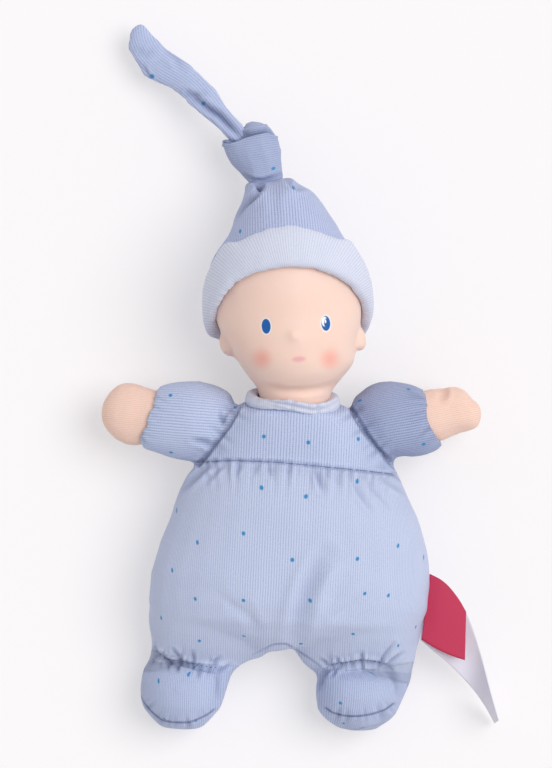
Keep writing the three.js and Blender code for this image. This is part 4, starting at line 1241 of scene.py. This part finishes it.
    def evened(self, sizes: Sequence[float]) -> np.ndarray:
        """Evens out sizes that were measured slice by slice."""
        padded = np.pad(np.array(sizes), 4, mode="edge")
        return np.convolve(padded, np.ones(9) / 9, mode="valid")

    def mid_depth(self, y: np.ndarray) -> np.ndarray:
        """The height of the side seam above the floor at each Y, in millimetres."""
        return np.interp(y, (-72, -45, -20, 40), (15, 13, 22, 24))

    def edge(self, points: np.ndarray, low: float) -> float:
        """The piece's farthest distance from the middle, in millimetres, in a thin slice at one Y."""
        here = np.abs(points[:, 1] / MM - low) < 2.5
        return float(np.abs(points[here, 0]).max()) / MM if here.any() else 1.0

    def make_bodice(self, skin: Surface) -> None:
        """Makes the ribbed yoke between the raglan seams."""
        share = np.arcsin(np.clip(skin.points[:, 0] / (self.bodice_width * MM), -1, 1)) * 2 / math.pi
        back = skin.points[:, 2] < 24 * MM
        share = np.where(back, 2 * np.sign(skin.points[:, 0]) - share, share)
        width = self.bodice_width * math.pi / 2 * MM
        grain = Grain(share * width, skin.points[:, 1], 1.0, 4 * width)
        piece = skin.make("bodice", self.finishes.dotted, grain)
        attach(piece, "torso")
        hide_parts("bodice_front", "bodice_back", "body_filling")
        LOG.info("bodice: %d points", len(skin.points))

    def make_romper(self, skin: Surface, side: Side) -> None:
        """Makes one half of the bag and its leg."""
        panel = "romper_front" if side is Side.RIGHT else "romper_back"
        piece = skin.make(f"romper_{side.word}", self.finishes.romper, self.body_grain(skin.points))
        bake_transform(piece)
        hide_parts(panel, f"{side.word}_leg", f"{side.word}_leg_filling")
        LOG.info("romper %s half: %d points", side.word, len(skin.points))

    def make_foot(self, skin: Surface, side: Side) -> None:
        """Makes one foot of the romper."""
        piece = skin.make(f"foot_{side.word}", self.finishes.foot, self.body_grain(skin.points))
        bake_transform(piece)
        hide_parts(f"{side.word}_foot", f"{side.word}_foot_filling")
        LOG.info("foot %s: %d points", side.word, len(skin.points))

    def make_sleeve(self, skin: Surface, side: Side) -> None:
        """Makes one puffed sleeve."""
        line = np.array(self.raglans[side])
        run = line[-1] - line[0]
        away = Vector((run[1], -run[0], 0)).normalized()
        if away.x * side.value < 0:
            away = -away
        grain = arm_grain(skin.points, f"{side.word}_sleeve", side)
        # The left sleeve takes the copy with painted shade.
        finish = self.finishes.dotted if side is Side.RIGHT else self.finishes.shaded
        piece = skin.make(f"sleeve_{side.word}", finish, grain)
        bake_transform(piece)
        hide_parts(f"{side.word}_sleeve", f"{side.word}_arm_filling")
        LOG.info("sleeve %s: %d points", side.word, len(skin.points))

    def make_seams(self, tree: BVHTree) -> None:
        """Lays the sewn seams in their grooves and the running stitches at the ankles."""
        waist = joined([tube(laid_on(tree, self.waist, 1.0, 0.1), self.seam_radius * MM)])
        piece = waist.make("waist_seam", self.finishes.seam)
        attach(piece, "torso")
        for side in Side:
            toe = joined([tube(laid_on(tree, self.toes[side], 0.8, 0.05), 0.2 * MM)])
            piece = toe.make(f"toe_seam_{side.word}", self.finishes.seam)
            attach(piece, f"{side.word}_foot")
            self.make_stitches(tree, side)
        LOG.info("seams: waist, toes and ankles")

    def make_stitches(self, tree: BVHTree, side: Side) -> None:
        """Makes the running thread that gathers one ankle's front."""
        path = laid_on(tree, [(x, y + self.stitch_rise) for x, y in self.ankles[side]], 0.5, 0.05)
        stitch, gap = 3, 1
        parts = [
            tube(path[first : first + stitch], 0.22 * MM, sides=6)
            for first in range(2, len(path) - stitch, stitch + gap)
        ]
        piece = joined(parts).make(f"ankle_stitches_{side.word}", self.finishes.stitch)
        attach(piece, f"{side.word}_foot")
        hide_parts(f"{side.word}_ankle_thread")


@dataclass
class Hands:
    """The two stuffed hands of skin-coloured jersey."""

    finishes: Finishes
    voxel: float = 1.2

    def build(self) -> None:
        """Makes both hands."""
        for side in Side:
            node = f"{side.word}_hand"
            skin = soft_skin([node], self.voxel, 6, grow=0.5)
            skin.nudge(self.nudges(side))
            skin.press(self.marks(side))
            piece = skin.make(f"mitt_{side.word}", self.finishes.hand, arm_grain(skin.points, node, side))
            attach(piece, f"{side.word}_arm")
            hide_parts(node)
            LOG.info("hand %s: %d points", side.word, len(skin.points))

    def nudges(self, side: Side) -> list[Nudge]:
        """How each hand differs from its even form."""
        if side is Side.RIGHT:
            return [
                Nudge((-61, 66), (9, 7), (1.9, 0, 0)),
                Nudge((-61, 48), (9, 7), (-2.2, 0, 0)),
                Nudge((-72, 70), (10, 6), (0, 1.7, 0)),
                Nudge((-65, 46), (8, 6), (0, -2.4, 0)),
            ]
        return [
            Nudge((73, 53), (8, 7), (-3, 3, 0)),
            Nudge((81, 64), (6, 8), (-1.8, 0, 0)),
            Nudge((76, 73), (5, 5), (-1.6, -1.6, 0)),
            Nudge((57, 73), (6, 6), (0, 2.2, 0)),
            Nudge((56, 63), (7, 12), (-5.5, 0, 1)),
        ]

    def marks(self, side: Side) -> list[Crease]:
        """The crease beside the left hand's thumb."""
        if side is Side.RIGHT:
            return []
        return [Crease(((60.5, 75), (62.3, 73), (61, 69.5)), 0.9, 1.7, 0.6, 0.2)]


@dataclass
class Head:
    """The hollow moulded head with its ears, nose and neck, and the thread tied round the neck.

    The head's own frame starts at the neck's pivot and leans a little to the doll's right.
    """

    finishes: Finishes
    pivot: tuple[float, float, float] = (-1.0, 66.0, 36.0)
    lean: float = 6.0
    evening: int = 140
    features: Sequence[tuple[tuple[float, float], float]] = (
        ((0, 27), 4), ((-27.6, 24), 6), ((27.6, 24), 6),
    )
    chin: Line = ((-12.2, 8.2), (-3.3, 5.2), (4.7, 4.4), (12.8, 5.1), (18.3, 6.9))
    nudges: tuple[Nudge, ...] = (
        Nudge((0, 20), (60, 20), (1.6, 0, 0)),
        Nudge((0, 11), (60, 8), (1.9, 0, 0)),
        Nudge((-29, 23), (7, 8), (1.2, 2.6, 0)),
        Nudge((30, 23), (7, 8), (-0.6, 1.7, 0)),
        Nudge((-24, 18.5), (5, 5), (-0.5, 2, 0)),
        Nudge((28, 18), (5, 5), (0.6, 1, 0)),
        Nudge((26, 15), (4, 5), (1.4, 0, 0)),
        Nudge((0, 27), (5, 5), (0.6, 1.2, -0.4)),
        Nudge((-27, 74), (9, 11), (3.4, 0, 0)),
        Nudge((28, 70), (9, 12), (-4, 0, 0)),
    )

    def pose(self) -> Matrix:
        """The head's own frame in the row frame."""
        return Matrix.Translation(Vector(self.pivot) * MM) @ Matrix.Rotation(math.radians(self.lean), 4, "Z")

    def build(self) -> None:
        """Makes the head, and gives the tie its thread."""
        skin = soft_skin(["head"], 1.15, 6, grow=0.6, cavity=9)
        pose = self.pose()
        skin.points = moved(skin.points, pose.inverted())
        skin.relax(self.evening, self.features)
        skin.nudge(self.nudges)
        skin.press([Crease(self.chin, 0.8, 1.5, 0.2)])
        piece = skin.make("rubber_head", self.finishes.rubber)
        piece.matrix_world = pose
        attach(piece, "head")
        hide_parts("head")
        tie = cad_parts["neck_tie"]
        tie.data.materials.clear()
        tie.data.materials.append(self.finishes.tie)
        LOG.info("head: %d points", len(skin.points))


CROWN_FOLDS = (
    Crease(((-10.4, 94.2), (-8.6, 92.2), (-7.1, 90)), 2.4, 1.3, 0.3, 0.9),
    Crease(((-7.6, 91.5), (-9.3, 88.5), (-12.2, 86), (-15.6, 83.4), (-19, 79)), 1.6, 1.4, 0.9, 0.6),
    Crease(((2.8, 94.2), (4.5, 91.4), (8.1, 89.6), (13, 90)), 0.9, 1.2, 0.6, 0.25),
    Crease(((-2, 92), (-3, 84), (-3, 77)), 0.4, 2.2, 0.3),
    Crease(((7, 88), (11, 80), (15, 74)), 0.5, 2.4, 0.4),
)
KNOT_FOLDS = (
    Crease(
        (
            (-23.4, 111.6), (-19.6, 111.4), (-15.8, 112.1), (-13, 113.2), (-9.2, 114.1), (-3.8, 115),
            (-0.4, 113.4),
        ),
        2.4, 1.0, 1.1, 0.6, through=True,
    ),
    Crease(((-14.8, 96.6), (-10.5, 94.2), (-6.7, 93.7), (-2.3, 95), (2.6, 96.4)), 0.9, 1.0, 0.6, 0.4),
    Crease(((-3.4, 112), (-1.8, 105), (-0.8, 98)), 0.5, 2.0, 0.5),
)
KNOT_NUDGES = (
    Nudge((-17, 97), (6, 6), (4, 0, 0)),
    Nudge((-21, 111.5), (5, 4), (-2.2, 0.5, 0)),
    Nudge((1, 97), (4, 5), (2, 0, 0)),
    Nudge((-18, 116), (6, 4), (1, -2, -4)),
    Nudge((-6, 95), (9, 5), (0, -2.6, 3)),
    Nudge((-1.5, 93), (4.5, 5), (3.6, 0, 0)),
)
CROWN_NUDGES = (
    Nudge((-21, 88), (9, 10), (4.8, 0, 0)),
    Nudge((-27, 73), (8, 8), (2, 0, 0)),
    Nudge((22, 78), (11, 12), (-2.4, 0, 0)),
    Nudge((30, 67), (8, 9), (-3.2, 0, 0)),
    Nudge((-7, 94.5), (7, 5), (0, -1.5, -8)),
    Nudge((2, 91), (4, 5), (2.6, 0.8, 0)),
)
CUFF_NUDGES = (
    Nudge((-27, 63), (7, 6), (1.5, 5.5, 0)),
    Nudge((31, 61), (7, 6), (-2.4, 5, 0)),
    Nudge((-31, 45), (8, 12), (2, 0, 3.5)),
    Nudge((-28, 23), (8, 6), (0.5, 4.5, 0)),
)
TAIL_NUDGES = (
    Nudge((-59, 149), (8, 12), (1.2, 0, 0)),
    Nudge((-56, 141), (4, 4), (-0.6, 1, 0)),
    Nudge((-26, 121), (7, 7), (-0.8, -0.8, 0)),
    Nudge((-15, 114), (6, 6), (1.2, -2.4, 1.5)),
)
TAIL_FOLDS = (
    Crease(
        (
            (-13.6, 111.6), (-16.9, 115.3), (-19.6, 118.1), (-23.7, 122.7), (-27.8, 125.6),
            (-31.9, 129.1), (-36, 132.5),
        ),
        2.0, 1.5, 0.9, 0.75,
    ),
    Crease(((-38.4, 132.3), (-34.5, 131.4), (-30, 131.8)), 0.8, 1.9, 0.5, 0.35),
    Crease(((-44.4, 151.9), (-39.8, 148.4), (-37.9, 143.9)), 0.7, 2.2, 0.5, 0.2),
    Crease(((-54, 144.9), (-51.1, 139.4)), 0.6, 0.8, 0.3, 0.4),
    Crease(((-57, 152), (-53, 150), (-49, 152)), 0.5, 1.8, 0.4, 0.1),
)


def looks_outward(surface: Surface, gap: float) -> np.ndarray:
    """Finds the faces that look away from the surface, or only at the other side of a fold.

    Args:
        surface: the closed surface.
        gap: how far apart a fold's two sides are at most, in millimetres.

    Returns:
        One truth value for each face.
    """
    tree = surface.tree()
    normals = surface.normals()[surface.faces].mean(axis=1)
    outward = np.ones(len(surface.faces), bool)
    for index, (centre, normal) in enumerate(zip(surface.centres(), normals)):
        start = Vector(centre) + Vector(normal) * 0.1 * MM
        distance = tree.ray_cast(start, Vector(normal))[3]
        outward[index] = distance is None or distance < gap * MM
    return outward


def hug(surface: Surface, centre: Vector, swell: float) -> None:
    """Swells a band's inner side until its soft edge lies on what it goes round.

    Args:
        surface: the band, which is changed.
        centre: the middle of what is inside it.
        swell: how far its inner side moves, in millimetres.
    """
    out = surface.points - np.array(centre)
    out /= np.linalg.norm(out, axis=1, keepdims=True)
    facing = (surface.normals() * out).sum(axis=1)
    surface.points -= out * (eased(-facing / 0.8) * swell * MM)[:, None]


@dataclass
class Cap:
    """The knotted cap: dotted crown, pale turned-up cuff, overhand knot and loose tail.

    Attributes:
        finishes: the doll's finishes.
        head: the head, in whose own frame the cap's lines and places are given.
        cloth: the crown's thickness in millimetres.
        swell: how far the cuff's inner side swells onto the head, in millimetres.
        knot_tilt: the slope of the cloth that runs through the knot, in radians.
        narrow_y: the height above which the crown is gathered and has no hollow, in millimetres.
        fold_gap: how far apart the two sides of a fold are at most, in millimetres.
        run: the tail's middle line, in millimetres.
    """

    finishes: Finishes
    head: Head
    cloth: float = 1.1
    swell: float = 1.6
    knot_tilt: float = math.radians(12)
    narrow_y: float = 86.0
    fold_gap: float = 4.0
    run: Line = (
        (-15, 108), (-17, 112.5), (-22.5, 120), (-29, 130), (-36, 138.5), (-45, 144), (-51, 149.5),
        (-54.3, 156), (-54.5, 165),
    )

    def build(self) -> None:
        """Makes the cap's four pieces."""
        pose = self.head.pose()
        self.make_crown_and_cuff(pose)
        self.make_knot(pose)
        self.make_tail(pose)

    def make_crown_and_cuff(self, pose: Matrix) -> None:
        """Makes the hollow crown and the cuff that its edge ends in."""
        up = pose.to_3x3() @ Vector((0, 1, 0))
        centre = pose @ Vector((0, 40 * MM, 0))
        face = pose @ Vector((3 * MM, 30 * MM, 0))
        cuff = soft_skin(["hat_cuff"], 1.2, 5, grow=0.25)
        cuff.relax(24)
        cuff.nudge(self.placed_nudges(CUFF_NUDGES, pose))
        cuff.relax(14)
        crown = soft_skin(["hat_crown"], 1.3, 5, grow=0.3, cavity=12)
        crown.relax(30)
        crown.nudge(self.placed_nudges(CROWN_NUDGES, pose))
        crown.press(self.placed(CROWN_FOLDS, pose))
        crown = self.hollow(crown, cuff, pose)
        hug(cuff, centre, self.swell)
        cuff.relax(24)
        made = self.add("cap_crown", crown, round_grain(crown.points, centre, up, FRONT), "hat_crown", "hat")
        lining = made.modifiers.new("cloth", "SOLIDIFY")
        lining.thickness = self.cloth * MM
        lining.offset = -1
        self.add("cap_cuff", cuff, fan_grain(cuff.points, face, 34 * MM), "hat_cuff", "hat")

    def make_knot(self, pose: Matrix) -> None:
        """Makes the overhand knot."""
        knot = soft_skin(["hat_knot"], 0.9, 3, grow=0.2)
        knot.relax(4)
        knot.nudge(self.placed_nudges(KNOT_NUDGES, pose))
        knot.press(self.placed(KNOT_FOLDS, pose))
        low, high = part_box("hat_knot")
        across = Vector((math.cos(self.knot_tilt), math.sin(self.knot_tilt), 0))
        grain = round_grain(knot.points, (low + high) / 2, across, FRONT)
        self.add("cap_knot", knot, grain, "hat_knot", "hat")

    def make_tail(self, pose: Matrix) -> None:
        """Makes the loose tail."""
        tail = soft_skin(["hat_tail"], 0.8, 6, grow=0.35)
        tail.relax(30)
        tail.nudge(self.placed_nudges(TAIL_NUDGES, pose))
        tail.relax(10)
        tail.press(self.placed(TAIL_FOLDS, pose))
        run = resampled(self.in_row(self.run, pose), 2.0)
        self.add("cap_tail", tail, strip_grain(tail.points, run), "hat_tail", "tail")

    def in_row(self, line: Line, pose: Matrix) -> list[tuple[float, float]]:
        """Turns a line from the head's own frame into the row frame."""
        spots = [pose @ Vector((x * MM, y * MM, 0)) for x, y in line]
        return [(spot.x / MM, spot.y / MM) for spot in spots]

    def placed(self, folds: Sequence[Crease], pose: Matrix) -> list[Crease]:
        """Turns folds from the head's own frame into the row frame."""
        return [replace(fold, line=self.in_row(fold.line, pose)) for fold in folds]

    def placed_nudges(self, nudges: Sequence[Nudge], pose: Matrix) -> list[Nudge]:
        """Turns nudges from the head's own frame into the row frame."""
        return [replace(nudge, centre=self.in_row([nudge.centre], pose)[0]) for nudge in nudges]

    def hollow(self, crown: Surface, cuff: Surface, pose: Matrix) -> Surface:
        """Opens the crown below: its cloth ends inside the turned-up cuff.

        Args:
            crown: the crown as one closed skin.
            cuff: the cuff, whose middle plane the crown ends at.
            pose: the head's own frame.

        Returns:
            The crown's cloth.
        """
        band = moved(cuff.points, pose.inverted())
        slope, level = np.polyfit(band[:, 2], band[:, 1], 1)
        middle = moved(crown.centres(), pose.inverted())
        above = middle[:, 1] > level + slope * middle[:, 2]
        narrow = middle[:, 1] > self.narrow_y * MM
        return largest(crown.part(above & (narrow | looks_outward(crown, self.fold_gap))))

    def add(self, name: str, skin: Surface, grain: Grain, node: str, body: str) -> bpy.types.Object:
        """Finishes one piece of the cap.

        Args:
            name: the piece's name.
            skin: its surface.
            grain: how its knit lies.
            node: the frame's solid that it stands for.
            body: the body that it rides on.

        Returns:
            The new object.
        """
        finishes = {
            "hat_crown": self.finishes.crown,
            "hat_cuff": self.finishes.pale,
            "hat_knot": self.finishes.knot,
            "hat_tail": self.finishes.tail,
        }
        piece = skin.make(name, finishes[node], grain)
        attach(piece, body)
        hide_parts(node)
        LOG.info("%s: %d points", name, len(skin.points))
        return piece


@dataclass
class Collar:
    """The pale jersey binding, folded round the neckline."""

    finishes: Finishes
    fold: Line = (
        (-18, 68.8), (-13.9, 67.8), (-7.4, 66.4), (0.8, 64.7), (7.2, 63.7), (13.6, 64.9), (17.4, 67.6),
    )
    nudges: tuple[Nudge, ...] = (
        Nudge((-2, 62), (15, 9), (0, 3.4, 0)),
        Nudge((8, 62), (9, 4), (0, -1.2, 0)),
        Nudge((0, 70), (17, 2.6), (0, 1.0, 0)),
    )

    def build(self) -> None:
        """Makes the collar."""
        skin = soft_skin(["neck_collar"], 0.8, 3, grow=0.25)
        skin.nudge(self.nudges)
        low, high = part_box("neck_collar")
        hug(skin, (low + high) / 2 + Vector((0, -1.5 * MM, 0)), 1.8)
        skin.press([Crease(self.fold, 1.0, 0.8, 0.6, 0.5), Gather(self.fold, 6.0, 0.3, (3, 3), seed=41)])
        grain = round_grain(skin.points, (low + high) / 2, Vector((0, 1, 0)), FRONT)
        piece = skin.make("neck_binding", self.finishes.pale, grain)
        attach(piece, "torso")
        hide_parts("neck_collar")
        LOG.info("collar: %d points", len(skin.points))


@dataclass(frozen=True)
class Tape:
    """A bare label tape, sewn into the side seam by one edge.

    Attributes:
        name: the piece's name.
        node: the frame's solid that it stands for.
        slot: the record's material slot; not used.
        edges: its two long edges from the seam to the free end, as corners (x, y, z) in millimetres.
        flat: the size that it was cut to, in metres.
        thickness: the tape's thickness in millimetres.
    """

    name: str
    node: str
    slot: str
    edges: tuple[Sequence[tuple[float, float, float]], Sequence[tuple[float, float, float]]]
    flat: tuple[float, float]
    thickness: float = 0.35

    ROWS = 48
    COLUMNS = 24
    BOW = 0.7

    def build(self, finish: bpy.types.Material) -> None:
        """Makes the tape as a thin curved sheet with two faces.

        Args:
            finish: its material.
        """
        length = max(len(edge) for edge in self.edges)
        rows = [resampled(edge, 0.5) * MM for edge in self.edges]
        down, across = np.linspace(0, 1, self.ROWS), np.linspace(0, 1, self.COLUMNS)
        upper, lower = (
            np.stack([np.interp(down, np.linspace(0, 1, len(row)), row[:, k]) for k in range(3)], axis=1)
            for row in rows
        )
        bow = np.sin(math.pi * across) * self.BOW * MM
        sheet = upper[:, None] * (1 - across[None, :, None]) + lower[:, None] * across[None, :, None]
        sheet[:, :, 2] += bow[None, :] * down[:, None]
        index = np.arange(self.ROWS * self.COLUMNS).reshape(self.ROWS, self.COLUMNS)
        corners = [index[:-1, :-1], index[1:, :-1], index[1:, 1:], index[:-1, 1:]]
        faces = np.stack(corners, axis=-1).reshape(-1, 4)
        surface = Surface(sheet.reshape(-1, 3), faces, np.zeros(self.ROWS * self.COLUMNS))
        v, u = np.meshgrid(down * self.flat[1], across * self.flat[0], indexing="ij")
        piece = surface.make(self.name, finish, Grain(u.ravel(), v.ravel()))
        thicken = piece.modifiers.new("thickness", "SOLIDIFY")
        thicken.thickness = self.thickness * MM
        thicken.offset = 0
        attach(piece, "labels")
        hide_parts(self.node)
        LOG.info("%s: %d corners along its longer edge", self.name, length)


def seen_directly(tree: bpy.types.NodeTree) -> bpy.types.NodeSocket:
    """Adds the nodes that are 1 for what the camera sees, also in a reflection or through glass."""
    seen = add_node(tree, "LightPath").outputs
    first = add_node(tree, "Math", {0: seen["Is Camera Ray"], 1: seen["Is Glossy Ray"]}, operation="MAXIMUM")
    shown = add_node(tree, "Math", {0: first, 1: seen["Is Transmission Ray"]}, operation="MAXIMUM")
    return shown.outputs[0]


@dataclass
class Studio:
    """A white floor, an even sky, a soft key light from the upper right, and the camera straight above."""

    pixel: float = 0.42
    frame_height: int = 768
    centre: tuple[float, float, float] = (-8.3, 73.6, 22.0)
    distance: float = 6.0
    roll: float = 2.5
    sensor: float = 36.0
    sky: float = 0.58
    key: float = 0.42
    cleared: float = 0.45

    def build(self) -> None:
        """Makes the floor, the lights and the camera."""
        self.make_floor()
        self.make_lights()
        self.make_camera()

    def make_floor(self) -> None:
        """Makes the white table top that the doll lies on."""
        mesh = bpy.data.meshes.new("floor")
        far = 3.0
        mesh.from_pydata([(-far, -far, 0), (far, -far, 0), (far, far, 0), (-far, far, 0)], [], [(0, 1, 2, 3)])
        floor = new_object("floor", mesh)
        floor.location.z = -0.2 * MM
        look = {"Base Color": linear("#fbf7f8"), "Roughness": 0.9, "Specular IOR Level": 0.1}
        material, tree, shader = new_material("white_table", look)
        lit = add_node(tree, "Emission", {"Color": linear("#fdfcfd"), "Strength": 1.0})
        share = add_node(tree, "Math", {0: seen_directly(tree), 1: self.cleared}, operation="MULTIPLY")
        mixed = add_node(tree, "MixShader", {0: share, 1: shader, 2: lit})
        tree.links.new(mixed.outputs[0], tree.nodes["Material Output"].inputs["Surface"])
        mesh.materials.append(material)

    def make_lights(self) -> None:
        """Makes the even sky and the soft key light."""
        world = bpy.data.worlds.new("studio")
        world.use_nodes = True
        tree = world.node_tree
        strength = add_node(tree, "MapRange", {0: seen_directly(tree), 3: self.sky, 4: 1.0})
        tree.links.new(strength.outputs[0], tree.nodes["Background"].inputs["Strength"])
        tree.nodes["Background"].inputs["Color"].default_value = (1, 1, 1, 1)
        bpy.context.scene.world = world
        lamp = bpy.data.lights.new("key", "SUN")
        towards = Vector((0.52, 0.2, 0.95)).normalized()
        lamp.energy = self.key * math.pi / towards.z
        lamp.angle = math.radians(40)
        new_object("key", lamp).rotation_euler = towards.to_track_quat("Z", "Y").to_euler()

    def make_camera(self) -> None:
        """Makes the camera that looks straight down, rolled as the photograph's was."""
        data = bpy.data.cameras.new("camera")
        data.sensor_width = self.sensor
        data.lens = self.sensor * self.distance / (self.pixel * self.frame_height * MM)
        data.clip_end = 50
        camera = new_object("camera", data)
        camera.location = Vector(self.centre) * MM + Vector((0, 0, self.distance))
        camera.rotation_euler = (0, 0, math.radians(self.roll))
        bpy.context.scene.camera = camera
        bpy.context.scene.view_settings.view_transform = "Standard"


def main() -> None:
    """Builds the doll in order, then the studio round it."""
    logging.basicConfig(level=logging.INFO, format="%(name)s: %(message)s")
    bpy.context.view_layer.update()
    finishes = Finishes.prepare()
    Studio().build()
    Garment(finishes).build()
    Hands(finishes).build()
    head = Head(finishes)
    head.build()
    Cap(finishes, head).build()
    Collar(finishes).build()
    crimson = Tape(
        "crimson_tape", "side_label", "crimson_tape", (
            ((59.8, -3.2, 25), (66, -6, 25.5), (72, -12.6, 24.8), (75.6, -18.5, 23.8)),
            ((57.4, -31, 25), (63, -34.2, 25.5), (70, -37.2, 25), (76, -38.8, 24)),
        ), (0.028, 0.024),
    )
    crimson.build(finishes.crimson)
    white = Tape(
        "white_tape", "care_label", "white_tape", (
            (
                (59.4, -3.2, 24), (68, -9, 21.5), (75.8, -17.7, 20), (82.2, -34.2, 20), (87.1, -50.9, 21),
                (91.3, -63.5, 21.5),
            ),
            (
                (57, -31, 24), (62, -35.3, 22), (67.7, -39.1, 19), (78.7, -49.1, 11), (85.3, -57.2, 5),
                (90, -65.2, 2.4),
            ),
        ), (0.028, 0.042),
    )
    white.build(finishes.white)


if __name__ == "__main__":
    main()
